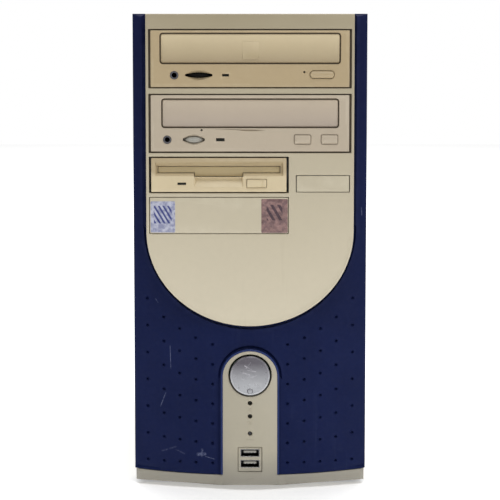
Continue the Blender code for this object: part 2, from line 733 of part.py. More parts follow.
def drive_tray(face, paints, top):
    """The sliding tray: a disc recess above, a lens slot through and a rack below."""
    start = DRIVE_Y + DOOR_THICK + GAP
    low = top - face.door_drop - face.door_height + TRAY_ABOVE_DOOR
    high = low + TRAY_THICK
    y = (start, start + TRAY_LENGTH)
    piece = box(f"{face.name}_tray", around(0.0, TRAY_WIDTH), y, (low, high))
    disc = (0.0, start + DISC_RECESS[0] + 0.0040)
    cut(piece, rod("recess", DISC_RECESS[0], "Z", disc, high - DISC_RECESS[1], high + CUT, 40))
    slot_y = (disc[1] - LENS_SLOT[0] / 2, disc[1] - LENS_SLOT[0] / 2 + LENS_SLOT[1])
    cut(piece, box("slot", around(0.0, LENS_SLOT[0]), slot_y, (low - CUT, high + CUT)))
    join(piece, tray_rack(face, top, low))
    piece.data.materials.append(paints["grey"])
    return piece


def tray_rack(face, top, tray_low):
    """The toothed strip under the tray. Its teeth face +X, and one is in line with the gear."""
    gear_x, gear_y = gear_centre(DRIVE_Y + FACE_THICK + GAP)
    pitch = math.pi * GEAR_MODULE
    line = gear_x - GEAR_TEETH * GEAR_MODULE / 2
    tip = line + 0.9 * GEAR_MODULE
    root = line - 1.2 * GEAR_MODULE
    slope = math.tan(PRESSURE_ANGLE)
    half = pitch / 4 - GEAR_BACKLASH / 2
    half_tip = half - 0.9 * GEAR_MODULE * slope
    half_root = half + 1.2 * GEAR_MODULE * slope
    first = gear_y - 1.0 * pitch
    points = [(root - 0.0030, first - pitch / 2), (root, first - pitch / 2)]
    for tooth in range(RACK_TEETH):
        middle = first + tooth * pitch
        points += [
            (root, middle - half_root),
            (tip, middle - half_tip),
            (tip, middle + half_tip),
            (root, middle + half_root),
        ]
    end = first + (RACK_TEETH - 0.5) * pitch
    points += [(root, end), (root - 0.0030, end)]
    return prism("rack", points, "Z", rack_low(face, top), tray_low + GAP)


def drive_door(face, paints, top):
    """The tray's front plate."""
    y = (DRIVE_Y, DRIVE_Y + DOOR_THICK)
    return prism(f"{face.name}_door", door_outline(face, top), "Y", *y, paints[face.paint])


def involute(angle):
    """The involute function."""
    return math.tan(angle) - angle


def gear_outline(centre):
    """The loading gear's teeth, with a gap between two teeth facing -X."""
    pitch_radius = GEAR_TEETH * GEAR_MODULE / 2
    base = pitch_radius * math.cos(PRESSURE_ANGLE)
    tip = pitch_radius + 0.9 * GEAR_MODULE
    root = pitch_radius - 1.2 * GEAR_MODULE
    half = math.pi / (2 * GEAR_TEETH) - GEAR_BACKLASH / (2 * pitch_radius)
    wide = half + involute(PRESSURE_ANGLE)
    flank = [(root, wide), (base, wide)]
    for share in (0.33, 0.67, 1.0):
        radius = base + (tip - base) * share
        flank.append((radius, wide - involute(math.acos(base / radius))))
    points = []
    for tooth in range(GEAR_TEETH):
        middle = math.pi + math.tau * (tooth + 0.5) / GEAR_TEETH
        sides = [(r, middle - turn) for r, turn in flank] + [(r, middle + turn) for r, turn in flank[::-1]]
        points += [(centre[0] + r * math.cos(a), centre[1] + r * math.sin(a)) for r, a in sides]
    return points


def loading_gear(face, paints, top):
    """The gear that drives the rack, on an upright axle."""
    centre = gear_centre(DRIVE_Y + FACE_THICK + GAP)
    low = rack_low(face, top)
    piece = prism(f"{face.name}_gear", gear_outline(centre), "Z", low, low + GEAR_THICK - GAP)
    bore = AXLE_RADIUS + AXLE_CLEARANCE
    cut(piece, rod("bore", bore, "Z", centre, low - CUT, low + GEAR_THICK + CUT, 12))
    piece.data.materials.append(paints["grey"])
    return pivot(piece, (*centre, low))


def volume_wheel(face, paints, top):
    """The thumb wheel on its upright axle, partly through the face."""
    middle = top - face.jack_drop
    centre = (face.wheel_x, DRIVE_Y + face.wheel_set)
    low, high = around(middle, face.wheel_thick)
    bore = AXLE_RADIUS + AXLE_CLEARANCE
    profile = [(bore, high), (face.wheel_radius, high), (face.wheel_radius, low), (bore, low)]
    piece = turned(f"{face.name}_wheel", profile, "Z", centre, 24, paints[face.wheel_paint], True)
    return pivot(piece, (*centre, middle))


def press_button(name, spot, radius, paint, top):
    """A round-cornered key with a flange behind the face, pressed along +Y."""
    low, high, drop, bottom = spot
    x = (low, high)
    z = (top - bottom, top - drop)
    back = DRIVE_Y + FACE_THICK + GAP
    key = rounded(x, z, radius)
    piece = prism(name, key, "Y", DRIVE_Y - PRESS_PROUD, back + KEY_FLANGE_THICK - GAP)
    flange_y = (back, back + KEY_FLANGE_THICK)
    join(piece, box("flange", grown(x, KEY_FLANGE), flange_y, grown(z, KEY_FLANGE * 0.6)))
    piece.data.materials.append(paint)
    return pivot(piece, ((low + high) / 2, DRIVE_Y, (z[0] + z[1]) / 2))


def optical_drive(face, paints):
    """A whole optical drive."""
    top = HEIGHT - OPTICAL_DROPS[face.name]
    drive_face(face, paints, top)
    drive_body(face, paints, top)
    drive_tray(face, paints, top)
    drive_door(face, paints, top)
    loading_gear(face, paints, top)
    volume_wheel(face, paints, top)
    for name, spot in face.buttons.items():
        press_button(name, spot, face.key_radius, paints[face.paint], top)


# ================================================================ floppy and hard drive
SLOT_X = (-0.0688, 0.0223)
SLOT_DROP = (0.0066, 0.0112)
NOTCH_X = (-0.0414, -0.0054)
NOTCH_DROP = 0.0138
FLAP_SETBACK = 0.0042
FLAP_THICK = 0.0009
FLAP_CLEARANCE = 0.0004
FLOPPY_KEY = (-0.0023, 0.0123, 0.0160, 0.0220)
KEY_CORNER = 0.0004
DISK_SETBACK = 0.0080  # from the chassis front to the hard drive
DISK_LID = 0.0040
DISK_STEP = 0.0030
DISK_TAIL = 0.0300
DISK_BOSS = 0.0250
FLOPPY_LAMP = (-0.0543, -0.0478, 0.0183, 0.0202)
RECESS_X = (-0.0708, 0.0248)
RECESS_TOP = 0.0032
RECESS_DEPTH = 0.0030
RECESS_LIP = 0.0020
SCOOP_DROP = 0.0220
SCOOP_RISE = 0.0050


def stepped_slot(top, grow):
    """Outline of the disk slot: a long slot with a deeper middle."""
    low = top - SLOT_DROP[1] - grow
    notch = top - NOTCH_DROP - grow
    return [
        (SLOT_X[0] - grow, top - SLOT_DROP[0] + grow),
        (SLOT_X[0] - grow, low),
        (NOTCH_X[0] - grow, low),
        (NOTCH_X[0] - grow, notch),
        (NOTCH_X[1] + grow, notch),
        (NOTCH_X[1] + grow, low),
        (SLOT_X[1] + grow, low),
        (SLOT_X[1] + grow, top - SLOT_DROP[0] + grow),
    ]


def floppy_face(paints, top):
    """The floppy drive's moulded front, with a sloped recess round its slot."""
    x = around(SMALL_DRIVE_X, FLOPPY_FACE[0])
    face = box("floppy_bezel", x, (DRIVE_Y, DRIVE_Y + FACE_THICK), (top - FLOPPY_FACE[1], top))
    through = (DRIVE_Y - CUT, DRIVE_Y + FACE_THICK + CUT)
    floor = DRIVE_Y + RECESS_DEPTH
    proud = DRIVE_Y - GAP
    recess_low = top - SLOT_DROP[1] - RECESS_LIP
    recess = [
        (proud, top - RECESS_TOP),
        (floor, top - SLOT_DROP[0] + FLAP_CLEARANCE * 2),
        (floor, top - SLOT_DROP[1] - RECESS_LIP * 0.3),
        (proud, recess_low),
    ]
    scoop = [
        (proud, top - RECESS_TOP - GAP),
        (floor, top - SLOT_DROP[0]),
        (floor, top - SCOOP_DROP + SCOOP_RISE),
        (proud, top - SCOOP_DROP),
    ]
    cut(face, prism("recess", recess, "X", *RECESS_X))
    cut(face, prism("scoop", scoop, "X", *NOTCH_X))
    cut(face, prism("slot", stepped_slot(top, FLAP_CLEARANCE), "Y", *through))
    key_x, key_z = floppy_key_spans(top)
    key_hole = (grown(key_x, SMALL_CLEARANCE), through, grown(key_z, SMALL_CLEARANCE))
    lamp_z = (top - FLOPPY_LAMP[3], top - FLOPPY_LAMP[2])
    cut(face, boxes("openings", [key_hole, (FLOPPY_LAMP[:2], through, lamp_z)]))
    face.data.materials.append(paints["straw"])
    return face


def floppy_key_spans(top):
    """The X and Z spans of the floppy drive's eject button."""
    low, high, drop, bottom = FLOPPY_KEY
    return (low, high), (top - bottom, top - drop)


def floppy_flap(paints, top):
    """The flap behind the slot, hung from its upper edge."""
    y = (DRIVE_Y + FLAP_SETBACK, DRIVE_Y + FLAP_SETBACK + FLAP_THICK)
    flap = prism("floppy_flap", stepped_slot(top, 0.0), "Y", *y, paints["straw"])
    return pivot(flap, (SMALL_DRIVE_X, y[1], top - SLOT_DROP[0]))


def floppy_body(paints, top):
    """The floppy drive's steel box, open at the front."""
    start = DRIVE_Y + FACE_THICK + GAP
    x = around(SMALL_DRIVE_X, FLOPPY_BODY[0])
    y = (start, start + FLOPPY_BODY[1])
    z = around(top - FLOPPY_FACE[1] / 2, FLOPPY_BODY[2])
    body = box("floppy_body", x, y, z)
    inside = (grown(x, -DRIVE_WALL), (start - CUT, y[1] - DRIVE_WALL), grown(z, -DRIVE_WALL))
    cut(body, box("hollow", *inside))
    body.data.materials.append(paints["zinc"])
    return body


def floppy_drive(paints):
    """A whole floppy drive."""
    top = HEIGHT - FLOPPY_DROP
    floppy_face(paints, top)
    floppy_flap(paints, top)
    floppy_body(paints, top)
    key_x, key_z = floppy_key_spans(top)
    spot = (*key_x, top - key_z[1], top - key_z[0])
    press_button("floppy_eject_button", spot, KEY_CORNER, paints["straw"], top)


def disk_spans():
    """The X, Y and Z spans of the hard drive, behind the lower bay."""
    start = INNER_FRONT_Y + DISK_SETBACK
    middle = HEIGHT - BLANK_DROP - BLANK_FACE[1] / 2
    x = around(SMALL_DRIVE_X, DISK_BODY[0])
    return x, (start, start + DISK_BODY[1]), around(middle, DISK_BODY[2])


def hard_drive(paints):
    """The hard drive: a cast body with a stepped lid and a round motor boss below."""
    x, y, z = disk_spans()
    lid_low = z[1] - DISK_LID
    piece = box("hard_drive", x, y, (z[0] + DISK_STEP, lid_low))
    lid_y = (y[0] + DISK_STEP, y[1] - DISK_TAIL)
    join(piece, box("lid", grown(x, -DISK_STEP), lid_y, (lid_low - GAP, z[1])))
    centre = (SMALL_DRIVE_X, y[0] + SMALL_DRIVE_WIDTH / 2)
    join(piece, rod("boss", DISK_BOSS, "Z", centre, z[0], z[0] + DISK_STEP + GAP, 24))
    piece.data.materials.append(paints["zinc"])
    return piece


# ================================================================ chassis
CAGE_DEPTH = 0.1500
CAGE_FIT = 0.0005
LIP = 0.0120
SCREW_RADIUS = 0.0018
SCREW_HEAD_RADIUS = 0.0055
SCREW_HOLE = 0.0023
FLANGE = 0.0120
PANEL_HOOK = 0.0080
FOOT_RADIUS = 0.0100
PSU_WINDOW_LAP = 0.0050


def channel(name, y, z, lip_up, paint):
    """A plate with a lip along each side, turned up or down."""
    low, high = z
    half = FRAME_HALF
    tip = low + LIP
    outline = [
        (-half, low), (half, low), (half, tip), (half - SHEET, tip),
        (half - SHEET, high), (-half + SHEET, high), (-half + SHEET, tip), (-half, tip),
    ]
    if not lip_up:
        outline = [(u, low + high - v) for u, v in outline]
    return prism(name, outline, "Y", *y, paint)


def drive_openings():
    """X and Z spans of the holes in the front plate for the drives and the lower bay."""
    spans = []
    for drop in OPTICAL_DROPS.values():
        middle = HEIGHT - drop - OPTICAL_HEIGHT / 2
        spans.append((around(0.0, OPTICAL_BODY[0] + 2 * CAGE_FIT), around(middle, OPTICAL_HEIGHT)))
    floppy_z = HEIGHT - FLOPPY_DROP - FLOPPY_FACE[1] / 2
    spans.append((around(SMALL_DRIVE_X, FLOPPY_BODY[0] + 2 * CAGE_FIT), around(floppy_z, FLOPPY_HEIGHT)))
    x, _, z = disk_spans()
    spans.append((grown(x, CAGE_FIT), grown(z, CAGE_FIT)))
    return spans


def chassis(paints):
    """Base pan, top, front plate, rear plate and board tray."""
    inner = (INNER_FRONT_Y, INNER_BACK_Y)
    channel("chassis_base", inner, (FRAME_BOTTOM, FRAME_BOTTOM + SHEET), True, paints["zinc"])
    channel("chassis_top", inner, (FRAME_TOP - SHEET, FRAME_TOP), False, paints["painted_steel"])

    across = (-FRAME_HALF, FRAME_HALF)
    tall = (FRAME_BOTTOM, FRAME_TOP)
    front = box("chassis_front", across, (CHASSIS_Y, CHASSIS_Y + SHEET), tall)
    through = (CHASSIS_Y - CUT, CHASSIS_Y + SHEET + CUT)
    opens = [(x, through, z) for x, z in drive_openings()]
    opens.append((around(0.0, 0.0300), through, (USB_Z, POWER_Z)))
    cut(front, boxes("openings", opens))
    front.data.materials.append(paints["zinc"])

    rear = box("chassis_rear", across, (BACK_Y - SHEET, BACK_Y), tall)
    through = (BACK_Y - SHEET - CUT, BACK_Y + CUT)
    psu_x, psu_z = psu_spans()[0], psu_spans()[2]
    window = (
        (psu_x[0] + PSU_WINDOW_LAP, psu_x[1] - PSU_WINDOW_LAP),
        through,
        (psu_z[0] + PSU_WINDOW_LAP, psu_z[1] - PSU_WINDOW_LAP),
    )
    ports = (port_x(), through, port_z())
    cut(rear, boxes("openings", [window, ports, (card_slot_x(), through, card_slot_z())]))
    for side in (-1, 1):
        for height in screw_heights():
            cut(rear, rod("hole", SCREW_HOLE, "Y", (side * screw_x(), height), *through, 10))
    rear.data.materials.append(paints["zinc"])

    plate_x = (FRAME_HALF - TRAY_SETBACK - SHEET, FRAME_HALF - TRAY_SETBACK)
    plate_z = (FRAME_BOTTOM + SHEET + GAP, FRAME_TOP - SHEET - GAP)
    tray = box("board_tray", plate_x, inner, plate_z)
    for y, z in standoff_places():
        join(tray, rod("standoff", 0.0025, "X", (y, z), BOARD_BACK_X + GAP, plate_x[1] - GAP, 8))
    tray.data.materials.append(paints["zinc"])


def standoff_places():
    """Where the stand-offs hold the motherboard."""
    rows = (BOARD_Z + 0.0200, BOARD_Z + BOARD_SIZE / 2, BOARD_Z + BOARD_SIZE - 0.0200)
    columns = (BOARD_BACK_Y - BOARD_SIZE + 0.0200, BOARD_BACK_Y - 0.0200)
    return [(y, z) for y in columns for z in rows]


def drive_cage(paints):
    """The cage: a wide channel for the optical drives over a narrow one for the small drives."""
    y = (INNER_FRONT_Y, INNER_FRONT_Y + CAGE_DEPTH)
    reader_low = HEIGHT - OPTICAL_DROPS["reader"] - OPTICAL_FACE[1]
    half = OPTICAL_BODY[0] / 2 + CAGE_FIT
    shelf = (reader_low - CAGE_FIT - SHEET, reader_low - CAGE_FIT)
    high = FRAME_TOP - SHEET - GAP
    x, _, z = disk_spans()
    floor = z[0] - CAGE_FIT
    left = x[0] - CAGE_FIT
    right = x[1] + CAGE_FIT
    outline = [
        (-half, shelf[1]), (half, shelf[1]), (half, high), (half + SHEET, high),
        (half + SHEET, shelf[0]), (right + SHEET, shelf[0]), (right + SHEET, floor - SHEET),
        (left - SHEET, floor - SHEET), (left - SHEET, shelf[1]), (-half - SHEET, shelf[1] + SHEET),
        (-half - SHEET, high), (-half, high),
    ]
    cage = prism("drive_cage", outline, "Y", *y)
    cut(cage, box("lower_bay", (left, right), (y[0] - CUT, y[1] + CUT), (floor, shelf[0])))
    cage.data.materials.append(paints["zinc"])
    return cage


def screw_x():
    """How far from the middle the thumbscrews sit."""
    return CASE_HALF - FLANGE / 2


def screw_heights():
    """Heights of the upper and the lower thumbscrew."""
    return (CASE_TOP - 0.0600, FOOT_HEIGHT + 0.0600)


def side_panel(name, side, paints):
    """A steel side: outer sheet, hooks over the top and the base, and a rear flange for its screws."""
    outer = side * CASE_HALF
    inner = side * (CASE_HALF - SHEET)
    hook = side * (CASE_HALF - PANEL_HOOK)
    outline = [
        (outer, FOOT_HEIGHT), (outer, CASE_TOP), (hook, CASE_TOP), (hook, CASE_TOP - SHEET),
        (inner, CASE_TOP - SHEET), (inner, FOOT_HEIGHT + SHEET),
        (hook, FOOT_HEIGHT + SHEET), (hook, FOOT_HEIGHT),
    ]
    flange_y = (BACK_Y + GAP, BACK_Y + GAP + SHEET)
    piece = prism(name, outline, "Y", CHASSIS_Y, flange_y[1])
    flange_x = tuple(sorted((outer, outer - side * FLANGE)))
    flange = box("flange", flange_x, flange_y, (FOOT_HEIGHT, CASE_TOP))
    join(piece, flange)
    for height in screw_heights():
        spot = (side * screw_x(), height)
        cut(piece, rod("hole", SCREW_HOLE, "Y", spot, BACK_Y, REAR, 10))
    piece.data.materials.append(paints["painted_steel"])
    return piece


def thumbscrews(paints):
    """The two screws that hold the left side."""
    start = REAR - SCREW_HEAD_LENGTH
    for name, height in zip(("upper_thumbscrew", "lower_thumbscrew"), screw_heights()):
        profile = [
            (0.0, REAR), (SCREW_HEAD_RADIUS, REAR), (SCREW_HEAD_RADIUS, start),
            (SCREW_RADIUS, start), (SCREW_RADIUS, BACK_Y - 0.0030), (0.0, BACK_Y - 0.0030),
        ]
        turned(name, profile, "Y", (-screw_x(), height), 16, paints["zinc"])


def feet(paints):
    """Four round feet under the base."""
    x = CASE_HALF - 0.0250
    for row, y in (("front", CHASSIS_Y + 0.0300), ("rear", BACK_Y - 0.0300)):
        for side, place in (("left", -x), ("right", x)):
            high = FRAME_BOTTOM - GAP
            profile = [(0.0, high), (FOOT_RADIUS, high), (FOOT_RADIUS - 0.0015, 0.0), (0.0, 0.0)]
            turned(f"{row}_{side}_foot", profile, "Z", (place, y), 16, paints["rubber"])


# ================================================================ power supply
INLET_FLANGE = (0.0310, 0.0240)
ROCKER_SIZE = (0.0125, 0.0176)
SELECTOR_KNOB = (0.0080, 0.0048)
SELECTOR_TRAVEL = 0.0040
SELECTOR_PROUD = 0.0006
ROCKER_SETBACK = 0.0035
CONTROL_EDGE = 0.0065  # from the supply's edge to its switch and its inlet
SWITCH_ROOM = 0.0015
GUARD_WIRE = 0.0016
FAN_SEAT = 0.0025
FAN_SETBACK = 0.0010
FAN_BLADES = 7
BLADE_HALF = 0.0007
BLADE_CLEARANCE = 0.0012
STRUT_HALF = 0.0015
INLET_MOUTH = (0.0240, 0.0164)
INLET_DEPTH = 0.0155
PIN_SIZE = (0.0020, 0.0040)
PIN_SPREAD = 0.0070
HUB_SHARE = 0.42  # a fan's hub, as a share of its bore


def psu_spans():
    """The X, Y and Z spans of the power supply's case."""
    back = INNER_BACK_Y
    high = FRAME_TOP - SHEET - 0.0010
    return around(0.0, PSU_SIZE[0]), (back - PSU_SIZE[1], back), (high - PSU_SIZE[2], high)


def fan_centre():
    """X and Z of the power supply's fan."""
    z = psu_spans()[2]
    return FAN_X, (z[0] + z[1]) / 2


def rotor(name, axis, centre, bore, span, paint):
    """A hub with pitched blades, clear of a bore of the given radius."""
    low, high = span
    hub = bore * HUB_SHARE
    tip = bore - BLADE_CLEARANCE
    piece = rod(name, hub, axis, centre, low, high, 20)
    mesh_data = bmesh.new()
    middle = (low + high) / 2
    reach = (high - low) * 0.42
    half_turn = 0.62 * math.pi / FAN_BLADES
    sides = ((0, 1, 3, 2), (4, 5, 7, 6), (0, 1, 5, 4), (2, 3, 7, 6), (0, 2, 6, 4), (1, 3, 7, 5))
    for blade in range(FAN_BLADES):
        angle = math.tau * blade / FAN_BLADES
        corners = []
        for radius in (hub * 0.9, tip):
            for along, turn in ((-reach, -half_turn), (reach, half_turn)):
                for side in (-BLADE_HALF, BLADE_HALF):
                    around_axis = angle + turn + side / radius
                    u = centre[0] + radius * math.cos(around_axis)
                    v = centre[1] + radius * math.sin(around_axis)
                    corners.append(mesh_data.verts.new(placed(axis, u, v, middle + along)))
        for side in sides:
            mesh_data.faces.new([corners[index] for index in side])
    join(piece, solid("blades", mesh_data))
    piece.data.materials.append(paint)
    return piece


def fan_frame(name, axis, centre, size, bore, span, strut_end, paint):
    """A square frame with a round bore, and struts with a motor seat at one end."""
    low, high = span
    u = around(centre[0], size)
    v = around(centre[1], size)
    outline = [(u[0], v[0]), (u[1], v[0]), (u[1], v[1]), (u[0], v[1])]
    piece = prism(name, outline, axis, low, high)
    cut(piece, rod("bore", bore, axis, centre, low - CUT, high + CUT, 28))
    seat = (high - FAN_SEAT, high) if strut_end > 0 else (low, low + FAN_SEAT)
    bar = (seat[0] + GAP, seat[1] - GAP)
    reach = bore + SHEET
    for wide, narrow in ((reach, STRUT_HALF), (STRUT_HALF, reach)):
        strip = [(centre[0] - wide, centre[1] - narrow), (centre[0] + wide, centre[1] - narrow),
                 (centre[0] + wide, centre[1] + narrow), (centre[0] - wide, centre[1] + narrow)]
        join(piece, prism("strut", strip, axis, *bar))
    join(piece, rod("seat", bore * HUB_SHARE, axis, centre, *seat, 20))
    piece.data.materials.append(paint)
    return piece


def rear_controls():
    """Heights of the supply's rocker switch, voltage selector and mains inlet."""
    z = psu_spans()[2]
    switch_low = z[1] - CONTROL_EDGE - ROCKER_SIZE[1] - 2 * SWITCH_ROOM
    inlet_high = z[0] + CONTROL_EDGE + INLET_FLANGE[1]
    switch = z[1] - CONTROL_EDGE - ROCKER_SIZE[1] / 2 - SWITCH_ROOM
    inlet = z[0] + CONTROL_EDGE + INLET_FLANGE[1] / 2
    return switch, (switch_low + inlet_high) / 2, inlet


def psu_case(paints):
    """The supply's closed steel case, with its rear openings."""
    x, y, z = psu_spans()
    through = (y[1] - SHEET - CUT, y[1] + CUT)
    switch_z, selector_z, inlet_z = rear_controls()
    case = box("psu_case", x, y, z)
    cut(case, box("hollow", *[grown(span, -SHEET) for span in (x, y, z)]))
    cut(case, rod("air", FAN_BORE - SHEET, "Y", fan_centre(), *through, 28))
    knob_room = SELECTOR_KNOB[0] + SELECTOR_TRAVEL + SHEET
    opens = [
        (around(INLET_X, INLET_SIZE[0]), through, around(inlet_z, INLET_SIZE[1])),
        (
            around(INLET_X, ROCKER_SIZE[0] + SWITCH_ROOM),
            through,
            around(switch_z, ROCKER_SIZE[1] + 2 * SWITCH_ROOM),
        ),
        (around(INLET_X, knob_room), through, around(selector_z, SELECTOR_KNOB[1] + 0.0008)),
    ]
    cut(case, boxes("openings", opens))
    case.data.materials.append(paints["zinc"])
    return case


def rocker_switch(back, middle, paints):
    """The supply's rocker, tilted about the axle behind its middle."""
    axle_y = back - ROCKER_SETBACK
    reach = ROCKER_SIZE[1] / 2
    outline = [
        (axle_y + 0.0040, middle - reach), (axle_y + 0.0022, middle),
        (axle_y + 0.0072, middle + reach), (axle_y - 0.0040, middle + reach * 0.8),
        (axle_y - 0.0060, middle), (axle_y - 0.0040, middle - reach * 0.8),
    ]
    switch = prism("psu_switch", outline, "X", *around(INLET_X, ROCKER_SIZE[0]), paints["black"])
    return pivot(switch, (INLET_X, axle_y, middle))


def voltage_selector(back, middle, paints):
    """The sliding knob of the voltage selector, on a plate behind its slot."""
    x = INLET_X - SELECTOR_TRAVEL / 2
    plate_y = (back - ROCKER_SETBACK, back - SHEET - GAP)
    knob_y = (plate_y[0] + GAP, back + SELECTOR_PROUD)
    knob = box("voltage_selector", around(x, SELECTOR_KNOB[0]), knob_y, around(middle, SELECTOR_KNOB[1]))
    plate_size = (SELECTOR_KNOB[0] + 3 * SELECTOR_TRAVEL, SELECTOR_KNOB[1] + SELECTOR_TRAVEL)
    join(knob, box("plate", around(x, plate_size[0]), plate_y, around(middle, plate_size[1])))
    knob.data.materials.append(paints["red"])
    return pivot(knob, (x, back, middle))


def power_supply(paints):
    """Case, fan, guard, mains inlet, rocker switch and voltage selector."""
    centre = fan_centre()
    back = psu_spans()[1][1]
    switch_z, selector_z, inlet_z = rear_controls()
    psu_case(paints)
    frame_y = (back - SHEET - GAP - FAN_DEPTH, back - SHEET - GAP)
    fan_frame("psu_fan_frame", "Y", centre, FAN_SIZE, FAN_BORE, frame_y, -1, paints["black"])
    spin = (frame_y[0] + FAN_SEAT + GAP, frame_y[1] - FAN_SETBACK)
    fan = rotor("psu_fan_rotor", "Y", centre, FAN_BORE, spin, paints["black"])
    pivot(fan, (centre[0], spin[0], centre[1]))
    fan_guard(centre, back + GAP, paints)
    mains_inlet(inlet_z, back, paints)
    rocker_switch(back, switch_z, paints)
    voltage_selector(back, selector_z, paints)


def fan_guard(centre, start, paints):
    """The wire guard over the fan: rings on two crossed spokes around a middle disc."""
    y = (start, start + GUARD_WIRE)
    half = GUARD_WIRE / 2
    reach = FAN_BORE / math.sqrt(2)
    piece = rod("psu_fan_guard", FAN_BORE / 4, "Y", centre, *y, 20)
    for rise in (1, -1):
        spoke = [
            (centre[0] - reach - half, centre[1] - rise * reach),
            (centre[0] - reach + half, centre[1] - rise * reach),
            (centre[0] + reach + half, centre[1] + rise * reach),
            (centre[0] + reach - half, centre[1] + rise * reach),
        ]
        join(piece, prism("spoke", spoke, "Y", y[0] + half / 2, y[1] - half / 2))
    for share in (0.50, 0.72, 0.94):
        inner, outer = around(FAN_BORE * share, GUARD_WIRE)
        profile = [(inner, y[1]), (outer, y[1]), (outer, y[0]), (inner, y[0])]
        join(piece, turned("ring", profile, "Y", centre, 28, closed=True))
    piece.data.materials.append(paints["steel_wire"])
    return piece


def mains_inlet(middle, back, paints):
    """The three-pin mains inlet: a flange outside, a deep socket and its pins."""
    flange_y = (back + GAP, back + 2 * SHEET + GAP)
    flange = box("mains_inlet", around(INLET_X, INLET_FLANGE[0]), flange_y, around(middle, INLET_FLANGE[1]))
    shell = [size - 2 * GAP for size in INLET_SIZE]
    floor = back - INLET_DEPTH
    shell_y = (floor - PANEL_WALL, back + SHEET)
    join(flange, box("shell", around(INLET_X, shell[0]), shell_y, around(middle, shell[1])))
    mouth_y = (floor, back + CUT)
    cut(flange, box("mouth", around(INLET_X, INLET_MOUTH[0]), mouth_y, around(middle, INLET_MOUTH[1])))
    pin_y = (floor - SHEET, back - PIN_SIZE[0])
    pins = [
        (around(INLET_X + step * PIN_SPREAD, PIN_SIZE[0]), pin_y, around(middle + rise, PIN_SIZE[1]))
        for step, rise in ((-1, -0.0020), (0, 0.0020), (1, -0.0020))
    ]
    join(flange, boxes("pins", pins))
    flange.data.materials.append(paints["black"])
    return flange


# ================================================================ boards
CARD_SOCKET_HEIGHT = 0.0110
CARD_SOCKETS = 4
MEMORY_SOCKET_HEIGHT = 0.0060
MEMORY_PITCH = 0.0140
MEMORY_HEIGHT = 0.0300
MEMORY_CHIPS = 8
CPU_HEIGHT = 0.0050
SINK_HEIGHT = 0.0300
SINK_FINS = 9
SINK_BASE = 0.0050
FIN_THICK = 0.0012
CHIP_HEIGHT = 0.0020
RIBBON_SOCKET_HEIGHT = 0.0090
RIBBON_WIDTH = 0.0450
RIBBON_THICK = 0.0012
RIBBON_BEND = 0.0100
CARD_THICK = 0.0016
CARD_HEIGHT = 0.0900
BRACKET_WIDTH = 0.0170
SHIELD_THICK = 0.0006
SHIELD_LAP = 0.0012
PORT_INSET = 0.0030


def port_x():
    """X span of the port aperture in the rear plate."""
    return (BOARD_FACE_X + 0.0010 - PORT_APERTURE[0], BOARD_FACE_X + 0.0010)


def port_z():
    """Z span of the port aperture in the rear plate."""
    return (PORT_TOP - PORT_APERTURE[1], PORT_TOP)


def card_slot_x():
    """X span of the card's slot in the rear plate."""
    return (BOARD_FACE_X - 0.0100 - SLOT_OPENING[0], BOARD_FACE_X - 0.0100)


def card_slot_z():
    """Z span of the card's slot in the rear plate."""
    return around(CARD_Z, SLOT_OPENING[1])


def port_list():
    """X and Z spans of each socket on the motherboard's rear edge, from the top down."""
    wall = BOARD_FACE_X - 0.0010
    top = PORT_TOP - 0.0040
    spans = [((wall - 0.0300, wall), (top - 0.0140, top))]
    spans.append(((wall - 0.0150, wall), (top - 0.0310, top - 0.0180)))
    spans.append(((wall - 0.0110, wall), (top - 0.0690, top - 0.0350)))
    spans.append(((wall - 0.0300, wall - 0.0160), (top - 0.0760, top - 0.0220)))
    spans.append(((wall - 0.0110, wall), (top - 0.1060, top - 0.0760)))
    for step in range(3):
        low = top - 0.1200 - step * 0.0140
        spans.append(((wall - 0.0120, wall), (low, low + 0.0110)))
    return spans


def board_spans():
    """The X, Y and Z spans of the bare motherboard."""
    return (
        (BOARD_FACE_X, BOARD_BACK_X),
        (BOARD_BACK_Y - BOARD_SIZE, BOARD_BACK_Y),
        (BOARD_Z, BOARD_Z + BOARD_SIZE),
    )


def on_board(height, y, z):
    """A span that stands on the motherboard's face."""
    return (BOARD_FACE_X - height, BOARD_FACE_X + GAP), y, z


def motherboard(paints):
    """The board with its card, memory, processor and ribbon sockets and its main chip."""
    x, y, z = board_spans()
    board = box("motherboard", x, y, z)
    card_y = (y[1] - 0.1500, y[1] - 0.0650)
    memory_z = (z[1] - 0.1500, z[1] - 0.0080)
    socket_y, socket_z = processor_centre()
    parts = [
        on_board(CARD_SOCKET_HEIGHT, card_y, around(CARD_Z - step * SLOT_PITCH, 0.0080))
        for step in range(CARD_SOCKETS)
    ]
    parts += [
        on_board(MEMORY_SOCKET_HEIGHT, around(memory_y() - step * MEMORY_PITCH, 0.0065), memory_z)
        for step in range(2)
    ]
    parts.append(on_board(CPU_HEIGHT, around(socket_y, 0.0500), around(socket_z, 0.0500)))
    parts.append(on_board(CHIP_HEIGHT, around(memory_y() + 0.0200, 0.0250), around(z[1] - 0.1250, 0.0250)))
    parts.append(on_board(RIBBON_SOCKET_HEIGHT, ribbon_y(), (z[0] + 0.1050, z[0] + 0.1580)))
    join(board, boxes("sockets", parts))
    board.data.materials.append(paints["board"])
    return board


def processor_centre():
    """Y and Z of the processor's middle."""
    return BOARD_BACK_Y - 0.0900, BOARD_Z + BOARD_SIZE - 0.0600


def memory_y():
    """Y of the first memory socket."""
    return BOARD_BACK_Y - 0.1350


